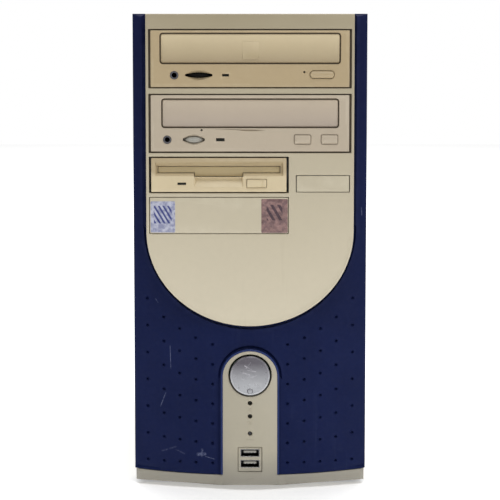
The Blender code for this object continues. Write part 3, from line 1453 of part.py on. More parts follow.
def processor_cooler(paints):
    """The heatsink on the processor, with its fan."""
    centre = processor_centre()
    base = BOARD_FACE_X - CPU_HEIGHT - GAP
    face = base - SINK_HEIGHT
    heatsink((face, base), around(centre[0], CPU_FAN_SIZE), around(centre[1], CPU_FAN_SIZE), paints)
    fan_x = (face - GAP - CPU_FAN_DEPTH, face - GAP)
    fan_frame("cpu_fan_frame", "X", centre, CPU_FAN_SIZE, CPU_FAN_BORE, fan_x, 1, paints["black"])
    spin = (fan_x[0] + FAN_SETBACK, fan_x[1] - FAN_SEAT - GAP)
    fan = rotor("cpu_fan_rotor", "X", centre, CPU_FAN_BORE, spin, paints["black"])
    pivot(fan, (spin[0], *centre))


def memory_module(paints):
    """The memory stick in the first socket, with chips on both faces."""
    high = BOARD_Z + BOARD_SIZE
    edge = BOARD_FACE_X - MEMORY_SOCKET_HEIGHT - GAP
    x = (edge - MEMORY_HEIGHT, edge)
    stick = box("memory_module", x, around(memory_y(), 0.0012), (high - 0.1450, high - 0.0120))
    chip_x = (x[0] + 0.0040, x[0] + 0.0160)
    chips = [
        (chip_x, around(memory_y(), 0.0034), around(high - 0.0250 - step * 0.0165, 0.0120))
        for step in range(MEMORY_CHIPS)
    ]
    join(stick, boxes("chips", chips))
    stick.data.materials.append(paints["board"])
    return stick


def boards(paints):
    """Motherboard, processor cooling, memory, graphics card, ports, shield and ribbon."""
    motherboard(paints)
    processor_cooler(paints)
    memory_module(paints)
    graphics_card(paints)
    rear_ports(paints)
    ribbon(paints)


def heatsink(x, y, z, paints):
    """The processor's heatsink: upright fins on a base."""
    pitch = (y[1] - y[0] - FIN_THICK) / (SINK_FINS - 1)
    base = x[1] - SINK_BASE
    outline = [(x[1], y[1]), (x[1], y[0])]
    for fin in range(SINK_FINS):
        start = y[0] + fin * pitch
        outline += [(x[0], start), (x[0], start + FIN_THICK)]
        if fin < SINK_FINS - 1:
            outline += [(base, start + FIN_THICK), (base, start + pitch)]
    return prism("cpu_heatsink", outline, "Z", *z, paints["fins"])


def graphics_card(paints):
    """A card in the top slot: board, chip, bracket and screen socket."""
    edge = BOARD_FACE_X - CARD_SOCKET_HEIGHT - GAP
    front = BOARD_BACK_Y - 0.1500
    bracket_y = (BACK_Y - 2 * SHEET - GAP, BACK_Y - SHEET - GAP)
    card_x = (edge - CARD_HEIGHT, edge)
    card = box("graphics_card", card_x, (front, bracket_y[0] + GAP), around(CARD_Z, CARD_THICK))
    slot = card_slot_x()
    bracket_x = (slot[0] - 0.0080, slot[1] + 0.0040)
    join(card, box("bracket", bracket_x, bracket_y, around(CARD_Z, BRACKET_WIDTH)))
    socket_x = (edge - 0.0520, edge - 0.0210)
    socket_y = (bracket_y[0] - 0.0100, BACK_Y + 0.0050)
    join(card, box("socket", socket_x, socket_y, around(CARD_Z + 0.0006, 0.0090)))
    chip_x = (edge - 0.0600, edge - 0.0300)
    join(card, box("chip", chip_x, (front + 0.0400, front + 0.0700), (CARD_Z - 0.0090, CARD_Z)))
    card.data.materials.append(paints["board"])
    return card


def rear_ports(paints):
    """The row of sockets on the motherboard's rear edge, and the shield that they pass through."""
    shield_y = (BACK_Y - SHEET - GAP - SHIELD_THICK, BACK_Y - SHEET - GAP)
    x, z = port_x(), port_z()
    shield = box("port_shield", grown(x, SHIELD_LAP), shield_y, grown(z, SHIELD_LAP))
    through = grown(shield_y, CUT)
    holes = [(grown(port[0], GAP), through, grown(port[1], GAP)) for port in port_list()]
    cut(shield, boxes("holes", holes))
    shield.data.materials.append(paints["zinc"])

    block_y = (BOARD_BACK_Y - 0.0150, shield_y[0] - GAP)
    block_x = (BOARD_FACE_X - 0.0330, BOARD_FACE_X - GAP)
    ports = box("rear_ports", block_x, block_y, grown(z, -PORT_INSET))
    shells = [(port[0], (block_y[1] - 0.0020, BACK_Y + PORT_INSET), port[1]) for port in port_list()]
    join(ports, boxes("shells", shells))
    ports.data.materials.append(paints["grey"])


def ribbon_y():
    """Y span of the drives' ribbon where it hangs behind them."""
    start = DRIVE_Y + FACE_THICK + GAP + OPTICAL_BODY[1]
    return (start + 0.0290, start + 0.0370)


def thick_path(points, thick):
    """Both sides of a path in its plane, as one outline."""
    sides = ([], [])
    for index, point in enumerate(points):
        before = Vector(points[max(index - 1, 0)])
        after = Vector(points[min(index + 1, len(points) - 1)])
        along = (after - before).normalized()
        across = Vector((-along.y, along.x)) * thick / 2
        sides[0].append(tuple(Vector(point) + across))
        sides[1].append(tuple(Vector(point) - across))
    return sides[0] + sides[1][::-1]


def ribbon(paints):
    """The flat cable from the optical drives to the motherboard, folded once to face its socket."""
    start = DRIVE_Y + FACE_THICK + GAP + OPTICAL_BODY[1] + GAP
    hang = sum(ribbon_y()) / 2
    heights = {name: HEIGHT - drop - OPTICAL_HEIGHT * 0.75 for name, drop in OPTICAL_DROPS.items()}
    bend = (hang - RIBBON_BEND, heights["writer"] - RIBBON_BEND)
    fold_z = BOARD_Z + 0.1050
    path = [(start, heights["writer"]), *arc(bend, RIBBON_BEND, math.pi / 2, 0.0, 6), (hang, fold_z)]
    wide = around(SMALL_DRIVE_X, RIBBON_WIDTH)
    piece = prism("drive_ribbon", thick_path(path, RIBBON_THICK), "X", *wide)
    branch = [(start, heights["reader"]), (hang, heights["reader"])]
    socket_x = BOARD_FACE_X - RIBBON_SOCKET_HEIGHT - GAP
    run = [
        (wide[0] + SHEET, fold_z + GAP), (socket_x, fold_z + GAP),
        (socket_x, fold_z + RIBBON_WIDTH), (wide[1], fold_z + RIBBON_WIDTH),
    ]
    join(
        piece,
        prism("branch", thick_path(branch, RIBBON_THICK), "X", *wide),
        prism("run", run, "Y", *around(hang, RIBBON_THICK * 0.8)),
    )
    piece.data.materials.append(paints["ribbon"])
    return piece


# ================================================================ the whole tower
def clear_scene():
    """Removes whatever the scene starts with."""
    for thing in list(bpy.data.objects):
        bpy.data.objects.remove(thing)


def main():
    """Builds every piece and hangs them all on one empty."""
    clear_scene()
    paints = make_paints()
    front_bezel(paints)
    front_cover(paints)
    bay_blank(paints)
    name_plate(paints)
    power_button(paints)
    reset_button(paints)
    lamps(paints)
    usb_module(paints)
    switch_board(paints)
    optical_drive(WRITER, paints)
    optical_drive(READER, paints)
    floppy_drive(paints)
    hard_drive(paints)
    chassis(paints)
    drive_cage(paints)
    side_panel("left_panel", -1, paints)
    side_panel("right_panel", 1, paints)
    thumbscrews(paints)
    feet(paints)
    power_supply(paints)
    boards(paints)
    tower = bpy.data.objects.new("tower", None)
    bpy.context.scene.collection.objects.link(tower)
    for piece in bpy.context.scene.objects:
        if piece.type == "MESH":
            piece.parent = tower


main()
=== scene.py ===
"""Looks of the mini tower computer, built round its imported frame.

Every length is in metres. The front faces -Y, and +Z is up. Each sub-assembly is a class that holds its own
sizes, builds its meshes and dresses them. The main function makes them in order.
"""

import json
import logging
import math
from dataclasses import dataclass, field
from enum import Enum
from typing import Callable, Sequence

import bmesh
import bpy
import numpy as np
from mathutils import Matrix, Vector
from mathutils.geometry import delaunay_2d_cdt

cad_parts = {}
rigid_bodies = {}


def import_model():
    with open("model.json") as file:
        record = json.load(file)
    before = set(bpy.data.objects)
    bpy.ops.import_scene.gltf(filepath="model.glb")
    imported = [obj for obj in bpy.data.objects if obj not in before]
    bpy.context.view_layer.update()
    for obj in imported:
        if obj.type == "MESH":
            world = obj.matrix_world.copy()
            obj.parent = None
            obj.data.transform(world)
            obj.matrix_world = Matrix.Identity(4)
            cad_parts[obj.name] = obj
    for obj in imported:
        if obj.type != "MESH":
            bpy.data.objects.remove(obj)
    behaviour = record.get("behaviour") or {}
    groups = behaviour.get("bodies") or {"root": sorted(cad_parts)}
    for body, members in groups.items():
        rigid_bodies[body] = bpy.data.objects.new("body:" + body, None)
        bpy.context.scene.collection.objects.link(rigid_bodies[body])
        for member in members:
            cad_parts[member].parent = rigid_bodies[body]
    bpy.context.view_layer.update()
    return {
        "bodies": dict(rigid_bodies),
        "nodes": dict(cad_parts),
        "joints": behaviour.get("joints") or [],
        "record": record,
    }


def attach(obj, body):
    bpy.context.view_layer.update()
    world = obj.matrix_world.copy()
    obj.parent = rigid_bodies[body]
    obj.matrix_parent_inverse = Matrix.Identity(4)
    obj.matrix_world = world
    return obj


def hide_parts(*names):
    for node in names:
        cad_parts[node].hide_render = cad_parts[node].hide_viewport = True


LOG = logging.getLogger("tower")
Point = tuple[float, float]
Loop = list[Point]
Span = tuple[float, float]
Relief = Callable[[np.ndarray, np.ndarray], np.ndarray]
MILLI = 1000.0


# ================================================================ levels shared by the whole tower
@dataclass(frozen=True)
class Levels:
    """Sizes that more than one sub-assembly needs."""

    height: float = 0.360
    half_width: float = 0.0885
    foot: float = 0.0024
    front: float = -0.200
    column_y: float = -0.1995
    cover_y: float = -0.1945
    panel_y: float = -0.1975
    drive_y: float = -0.198
    front_back: float = -0.1543
    bow_radius: float = 0.201
    panel_half: float = 0.0777
    panel_straight: float = 0.1623
    panel_sag: float = 0.0718
    column_half: float = 0.021
    column_arc_z: float = 0.0865
    column_crown: float = 0.0046
    skirt_top: float = 0.0119
    skirt_dip: float = 0.0011
    small_drive_x: float = -0.0233
    lamp_heights: Span = (0.0673, 0.0572)

    def bow(self, x: np.ndarray, inset: float = 0.0) -> np.ndarray:
        """Depth of the bowed front behind its crest, at x."""
        return self.bow_radius - np.sqrt((self.bow_radius - inset) ** 2 - np.square(x))

    def crown(self, x: np.ndarray) -> np.ndarray:
        """Depth of the column's round face behind its crest, at x."""
        radius = (self.column_half**2 + self.column_crown**2) / (2 * self.column_crown)
        return radius - np.sqrt(radius**2 - np.square(x))


AT = Levels()


# ================================================================ shapes
class Facing(Enum):
    """The way that a face looks."""

    FRONT = "front"
    REAR = "rear"
    TOP = "top"

    def place(self, u: np.ndarray, v: np.ndarray, level: float, depth: np.ndarray) -> np.ndarray:
        """Points in space from points on a face.

        Args:
            u: Places to the right, as the face is seen.
            v: Places upwards, as the face is seen.
            level: Where the face lies along its own axis.
            depth: How far each point lies behind the face.

        Returns:
            One row of X, Y and Z for each point.
        """
        if self is Facing.FRONT:
            columns = (u, level + depth, v)
        elif self is Facing.REAR:
            columns = (-u, level - depth, v)
        else:
            columns = (u, v, level - depth)
        return np.stack(columns, axis=1)


def around(centre: float, size: float) -> Span:
    """The low and high of a span of this size about its centre."""
    return (centre - size / 2, centre + size / 2)


def arc(centre: Point, radius: float, start: float, end: float, steps: int) -> Loop:
    """Points along an arc, both ends included.

    Args:
        centre: The arc's centre.
        radius: Its radius.
        start: First angle in radians.
        end: Last angle in radians.
        steps: Number of straight steps.

    Returns:
        The points in order.
    """
    turns = [start + (end - start) * step / steps for step in range(steps + 1)]
    return [(centre[0] + radius * math.cos(a), centre[1] + radius * math.sin(a)) for a in turns]


def circle(centre: Point, radius: float, steps: int = 32) -> Loop:
    """A closed round loop."""
    return arc(centre, radius, 0.0, math.tau, steps)[:-1]


def rounded(x: Span, z: Span, radius: float, steps: int = 5) -> Loop:
    """A rectangle with round corners.

    Args:
        x: Span across.
        z: Span upwards.
        radius: Corner radius, or zero for square corners.
        steps: Steps in each corner.

    Returns:
        The closed loop, anticlockwise.
    """
    if radius <= 0.0:
        return [(x[0], z[0]), (x[1], z[0]), (x[1], z[1]), (x[0], z[1])]
    corners = ((x[1], z[1], -1, -1), (x[0], z[1], 1, -1), (x[0], z[0], 1, 1), (x[1], z[0], -1, 1))
    points: Loop = []
    for quarter, (u, v, side, up) in enumerate(corners):
        start = quarter * math.pi / 2
        points += arc((u + side * radius, v + up * radius), radius, start, start + math.pi / 2, steps)
    return points


def signed_area(loop: Sequence[Point]) -> float:
    """Area of a loop, positive when it runs anticlockwise."""
    points = np.array(loop)
    ahead = np.roll(points, -1, axis=0)
    return float(np.sum(points[:, 0] * ahead[:, 1] - ahead[:, 0] * points[:, 1]) / 2)


def turned_way(loop: Sequence[Point], anticlockwise: bool) -> Loop:
    """The same loop, running the asked way round."""
    points = list(loop)
    return points if (signed_area(points) > 0) == anticlockwise else points[::-1]


def shifted(loop: Sequence[Point], inset: float) -> Loop:
    """A loop moved towards its left side, with mitred corners.

    Args:
        loop: The closed loop.
        inset: How far it moves.

    Returns:
        The moved loop, with as many points.
    """
    points = np.array(loop)
    ahead = np.roll(points, -1, axis=0) - points
    ahead /= np.linalg.norm(ahead, axis=1)[:, None] + 1e-12
    behind = np.roll(ahead, 1, axis=0)
    left_ahead = np.stack((-ahead[:, 1], ahead[:, 0]), axis=1)
    left_behind = np.stack((-behind[:, 1], behind[:, 0]), axis=1)
    share = 1.0 + np.sum(left_ahead * left_behind, axis=1)
    mitre = (left_ahead + left_behind) / np.maximum(share, 0.4)[:, None]
    return [tuple(row) for row in points + inset * mitre]


def distance(points: np.ndarray, line: Sequence[Point], closed: bool = True) -> np.ndarray:
    """Distance from each point to a line of straight steps.

    Args:
        points: One row for each point.
        line: The line's points.
        closed: Whether its end joins its start.

    Returns:
        One distance for each point.
    """
    starts = np.array(line)
    ends = np.roll(starts, -1, axis=0)
    if not closed:
        starts, ends = starts[:-1], ends[:-1]
    best = np.full(len(points), np.inf)
    for start, end in zip(starts, ends):
        step = end - start
        away = points - start
        share = np.clip(away @ step / max(float(step @ step), 1e-18), 0.0, 1.0)
        best = np.minimum(best, np.linalg.norm(away - share[:, None] * step, axis=1))
    return best


def inside(points: np.ndarray, loop: Sequence[Point]) -> np.ndarray:
    """Which points lie inside a closed loop."""
    x, z = points[:, 0], points[:, 1]
    found = np.zeros(len(points), bool)
    for (x0, z0), (x1, z1) in zip(loop, list(loop[1:]) + [loop[0]]):
        if z0 == z1:
            continue
        crosses = (z0 > z) != (z1 > z)
        found ^= crosses & (x < x0 + (x1 - x0) * (z - z0) / (z1 - z0))
    return found


def ramp(value: np.ndarray, start: float, end: float) -> np.ndarray:
    """Zero before start and one after end, with a smooth rise between."""
    share = np.clip((value - start) / (end - start), 0.0, 1.0)
    return share * share * (3 - 2 * share)


def piece_from(
    name: str, points: np.ndarray, faces: Sequence[Sequence[int]], sharp: float = 32.0,
) -> bpy.types.Object:
    """An object with smooth curves and sharp edges.

    Args:
        name: The piece's name.
        points: One row for each point.
        faces: Point numbers of each face.
        sharp: Edges that turn by more than this many degrees stay sharp.

    Returns:
        The new object.
    """
    mesh = bpy.data.meshes.new(name)
    mesh.from_pydata([tuple(row) for row in points], [], [tuple(face) for face in faces])
    body = bmesh.new()
    body.from_mesh(mesh)
    bmesh.ops.delete(body, geom=[v for v in body.verts if not v.link_faces], context="VERTS")
    body.to_mesh(mesh)
    body.free()
    mesh.shade_smooth()
    mesh.set_sharp_from_angle(angle=math.radians(sharp))
    piece = bpy.data.objects.new(name, mesh)
    bpy.context.scene.collection.objects.link(piece)
    return piece


@dataclass
class Moulding:
    """A moulded plate: an outline with holes, a shaped face, round edges and walls behind."""

    name: str
    outline: Loop
    level: float
    depth: float
    holes: list[Loop] = field(default_factory=list)
    facing: Facing = Facing.FRONT
    edge: float = 0.0005
    hole_edge: float = 0.0003
    pitch: float = 0.0
    relief: Relief | None = None
    creases: list[Loop] = field(default_factory=list)
    dots: list[Point] = field(default_factory=list)
    shut: bool = True
    edge_steps: int = 4

    def rings(self) -> tuple[list[Point], list[float], list[tuple[int, int]]]:
        """Loops that step round each edge.

        Returns:
            The points, how far each lies behind the face, and the lines between them.
        """
        points: list[Point] = []
        sunk: list[float] = []
        lines: list[tuple[int, int]] = []
        loops = [(turned_way(self.outline, True), self.edge)]
        loops += [(turned_way(hole, False), self.hole_edge) for hole in self.holes]
        for loop, edge in loops:
            steps = self.edge_steps if edge > 0 else 0
            for step in range(steps + 1):
                turn = math.pi / 2 * step / max(steps, 1)
                first = len(points)
                points += shifted(loop, edge * (1 - math.cos(turn)))
                sunk += [edge * (1 - math.sin(turn))] * len(loop)
                lines += [(first + i, first + (i + 1) % len(loop)) for i in range(len(loop))]
        return points, sunk, lines

    def filling(self) -> list[Point]:
        """Points that fill the face between its edges."""
        if self.pitch <= 0:
            return list(self.dots)
        bounds = np.array(self.outline)
        low, high = bounds.min(0), bounds.max(0)
        across = np.arange(low[0] + self.pitch / 2, high[0], self.pitch)
        upwards = np.arange(low[1] + self.pitch / 2, high[1], self.pitch)
        grid = np.array([(u, v) for v in upwards for u in across])
        keep = inside(grid, self.outline) & (distance(grid, self.outline) > self.edge + self.pitch * 0.4)
        for hole in self.holes:
            keep &= ~inside(grid, hole) & (distance(grid, hole) > self.hole_edge + self.pitch * 0.4)
        for crease in self.creases:
            keep &= distance(grid, crease, False) > self.pitch * 0.3
        if self.dots:
            for dot in self.dots:
                keep &= np.hypot(grid[:, 0] - dot[0], grid[:, 1] - dot[1]) > self.pitch * 0.25
        return [tuple(row) for row in grid[keep]] + list(self.dots)

    def build(self) -> bpy.types.Object:
        """Makes the plate's mesh.

        Returns:
            The new object.
        """
        points, sunk, lines = self.rings()
        for crease in self.creases:
            first = len(points)
            points += crease
            lines += [(first + i, first + i + 1) for i in range(len(crease) - 1)]
        points += self.filling()
        flat = [Vector((u * MILLI, v * MILLI)) for u, v in points]
        made, _, faces, origins, _, _ = delaunay_2d_cdt(flat, lines, [], 0, 1e-5)
        where = np.array([(v.x, v.y) for v in made]) / MILLI
        middles = np.array([where[list(face)].mean(0) for face in faces])
        keep = inside(middles, self.outline)
        for hole in self.holes:
            keep &= ~inside(middles, hole)
        front = [face for face, kept in zip(faces, keep) if kept]
        known = [[sunk[i] for i in origin if i < len(sunk)] for origin in origins]
        back_of = np.array([max(values, default=0.0) for values in known])
        depth = back_of + (self.relief(where[:, 0], where[:, 1]) if self.relief else 0.0)
        count = len(where)
        face_points = self.facing.place(where[:, 0], where[:, 1], self.level, depth)
        rear_points = self.facing.place(where[:, 0], where[:, 1], self.level, np.full(count, self.depth))
        steps = {(face[i], face[(i + 1) % len(face)]) for face in front for i in range(len(face))}
        walls = [(b, a, a + count, b + count) for a, b in steps if (b, a) not in steps]
        rear = [[i + count for i in reversed(face)] for face in front] if self.shut else []
        return piece_from(self.name, np.concatenate((face_points, rear_points)), [*front, *walls, *rear])


def lathe(
    name: str,
    profile: Sequence[Point],
    centre: Point,
    level: float,
    facing: Facing = Facing.FRONT,
    steps: int = 48,
    ribs: int = 0,
    rib_depth: float = 0.0,
) -> bpy.types.Object:
    """A turned piece.

    Args:
        name: The piece's name.
        profile: Pairs of radius and depth behind the level.
        centre: The axis, as a point on the face.
        level: Where the face lies.
        facing: The way that the axis looks.
        steps: Steps round the axis.
        ribs: Number of ribs round the rim, or zero.
        rib_depth: How deep the furrows between ribs are.

    Returns:
        The new object.
    """
    rows: list[np.ndarray] = []
    turns = np.arange(steps) * math.tau / steps
    largest = max(radius for radius, _ in profile)
    for radius, depth in profile:
        reach = np.full(steps, radius)
        if ribs and radius > largest * 0.9:
            reach = reach - rib_depth * (0.5 + 0.5 * np.cos(turns * ribs))
        u = centre[0] + reach * np.cos(turns)
        v = centre[1] + reach * np.sin(turns)
        rows.append(facing.place(u, v, level, np.full(steps, depth)))
    faces = []
    for row in range(len(profile) - 1):
        for step in range(steps):
            after = (step + 1) % steps
            near, far = row * steps, (row + 1) * steps
            faces.append((near + step, near + after, far + after, far + step))
    piece = piece_from(name, np.concatenate(rows), faces)
    body = bmesh.new()
    body.from_mesh(piece.data)
    bmesh.ops.remove_doubles(body, verts=body.verts, dist=1e-7)
    bmesh.ops.recalc_face_normals(body, faces=body.faces)
    body.to_mesh(piece.data)
    body.free()
    piece.data.shade_smooth()
    piece.data.set_sharp_from_angle(angle=math.radians(32))
    return piece


def block(name: str, x: Span, y: Span, z: Span, bevel: float = 0.0003, steps: int = 2) -> bpy.types.Object:
    """A block with rounded edges.

    Args:
        name: The piece's name.
        x: Span across.
        y: Span along the depth.
        z: Span upwards.
        bevel: Width of the rounded edges.
        steps: Steps in each rounded edge.

    Returns:
        The new object.
    """
    body = bmesh.new()
    bmesh.ops.create_cube(body, size=1.0)
    for vertex in body.verts:
        for axis, (low, high) in enumerate((x, y, z)):
            vertex.co[axis] = low if vertex.co[axis] < 0 else high
    bmesh.ops.bevel(body, geom=body.edges[:], offset=bevel, segments=steps, affect="EDGES", profile=0.5)
    mesh = bpy.data.meshes.new(name)
    body.to_mesh(mesh)
    body.free()
    mesh.shade_smooth()
    mesh.set_sharp_from_angle(angle=math.radians(50))
    piece = bpy.data.objects.new(name, mesh)
    bpy.context.scene.collection.objects.link(piece)
    return piece


def joined(name: str, parts: Sequence[bpy.types.Object]) -> bpy.types.Object:
    """One object from several.

    Args:
        name: The joined piece's name.
        parts: The objects, which are used up.

    Returns:
        The joined object.
    """
    body = bmesh.new()
    for part in parts:
        body.from_mesh(part.data)
    mesh = bpy.data.meshes.new(name)
    body.to_mesh(mesh)
    body.free()
    mesh.shade_smooth()
    mesh.set_sharp_from_angle(angle=math.radians(35))
    for part in parts:
        bpy.data.objects.remove(part)
    piece = bpy.data.objects.new(name, mesh)
    bpy.context.scene.collection.objects.link(piece)
    return piece


def bead(name: str, path: Sequence[Sequence[float]], radius: float, closed: bool = False) -> bpy.types.Object:
    """A thin round bead along a path.

    Args:
        name: The piece's name.
        path: Points in space.
        radius: Radius of the bead.
        closed: Whether its end joins its start.

    Returns:
        The new object.
    """
    curve = bpy.data.curves.new(name, "CURVE")
    curve.dimensions = "3D"
    curve.bevel_depth = radius
    curve.bevel_resolution = 2
    curve.use_fill_caps = True
    line = curve.splines.new("POLY")
    line.points.add(len(path) - 1)
    for point, place in zip(line.points, path):
        point.co = (*place, 1.0)
    line.use_cyclic_u = closed
    holder = bpy.data.objects.new(name + "_line", curve)
    bpy.context.scene.collection.objects.link(holder)
    graph = bpy.context.evaluated_depsgraph_get()
    mesh = bpy.data.meshes.new_from_object(holder.evaluated_get(graph))
    bpy.data.objects.remove(holder)
    mesh.name = name
    mesh.shade_smooth()
    piece = bpy.data.objects.new(name, mesh)
    bpy.context.scene.collection.objects.link(piece)
    return piece


# ================================================================ effects shared by the finishes
def linear(colour: Sequence[float]) -> tuple[float, float, float, float]:
    """A display colour of 0 to 255 as a linear colour with full alpha."""
    parts = [c / 255 for c in colour]
    bright = [c / 12.92 if c <= 0.04045 else ((c + 0.055) / 1.055) ** 2.4 for c in parts]
    return (bright[0], bright[1], bright[2], 1.0)


@dataclass
class Sheet:
    """A node tree with short calls for its nodes and links."""

    tree: bpy.types.NodeTree

    def node(self, kind: str, **settings: object) -> bpy.types.Node:
        """Adds a node.

        Args:
            kind: The node's type name.
            settings: Attributes to set on it.

        Returns:
            The new node.
        """
        made = self.tree.nodes.new(kind)
        for key, value in settings.items():
            setattr(made, key, value)
        return made

    def link(self, source: bpy.types.NodeSocket, target: bpy.types.NodeSocket) -> None:
        """Joins two sockets."""
        self.tree.links.new(source, target)

    def math(
        self, operation: str, first: object, second: object = None, clamp: bool = False,
    ) -> bpy.types.NodeSocket:
        """Adds a Math node.

        Args:
            operation: The operation's name.
            first: A socket or a number.
            second: A socket, a number or nothing.
            clamp: Whether the result stays between 0 and 1.

        Returns:
            The result's socket.
        """
        made = self.node("ShaderNodeMath", operation=operation, use_clamp=clamp)
        for socket, value in zip(made.inputs, (first, second)):
            if isinstance(value, bpy.types.NodeSocket):
                self.link(value, socket)
            elif value is not None:
                socket.default_value = value
        return made.outputs[0]

    def spread(
        self, value: bpy.types.NodeSocket, source: Span, target: tuple[object, object],
    ) -> bpy.types.NodeSocket:
        """Adds a Map Range node.

        Args:
            value: The socket that is mapped.
            source: Lowest and highest input.
            target: Lowest and highest output, as numbers or sockets.

        Returns:
            The result's socket.
        """
        made = self.node("ShaderNodeMapRange", clamp=True)
        self.link(value, made.inputs["Value"])
        made.inputs["From Min"].default_value, made.inputs["From Max"].default_value = source
        for name, end in zip(("To Min", "To Max"), target):
            if isinstance(end, bpy.types.NodeSocket):
                self.link(end, made.inputs[name])
            else:
                made.inputs[name].default_value = end
        return made.outputs["Result"]

    def mix(self, share: object, first: object, second: object) -> bpy.types.NodeSocket:
        """Adds a colour Mix node.

        Args:
            share: Share of the second colour.
            first: A socket or a colour.
            second: A socket or a colour.

        Returns:
            The result's socket.
        """
        made = self.node("ShaderNodeMix", data_type="RGBA")
        for socket, value in zip((made.inputs[0], made.inputs[6], made.inputs[7]), (share, first, second)):
            if isinstance(value, bpy.types.NodeSocket):
                self.link(value, socket)
            else:
                socket.default_value = value
        return made.outputs[2]

    def noise(
        self, scale: object, detail: float = 4.0, stretch: Sequence[float] = (1, 1, 1),
    ) -> bpy.types.NodeSocket:
        """Adds noise fixed to the piece.

        Args:
            scale: Features for each metre, as a number or a socket.
            detail: Levels of finer noise.
            stretch: How the pattern is drawn out along X, Y and Z.

        Returns:
            The noise value's socket.
        """
        place = self.node("ShaderNodeTexCoord").outputs["Object"]
        mapping = self.node("ShaderNodeMapping")
        mapping.inputs["Scale"].default_value = stretch
        self.link(place, mapping.inputs["Vector"])
        made = self.node("ShaderNodeTexNoise")
        made.inputs["Detail"].default_value = detail
        self.link(mapping.outputs["Vector"], made.inputs["Vector"])
        if isinstance(scale, bpy.types.NodeSocket):
            self.link(scale, made.inputs["Scale"])
        else:
            made.inputs["Scale"].default_value = scale
        return made.outputs["Fac"]


class Effect(Enum):
    """Effects that several finishes share."""

    MOTTLE = "Mottle"
    # Painted shade that changes with height.
    HEIGHT_SHADING = "Painted height shading"
    DUST = "Dust"
    SCUFFS = "Scuffs"
    GRAIN = "Grain"
    WEAR = "Edge wear"
    SHEEN_SPREAD = "Roughness spread"
    RUB = "Rub mark"


COLOUR_SOCKET = "NodeSocketColor"
NUMBER_SOCKET = "NodeSocketFloat"


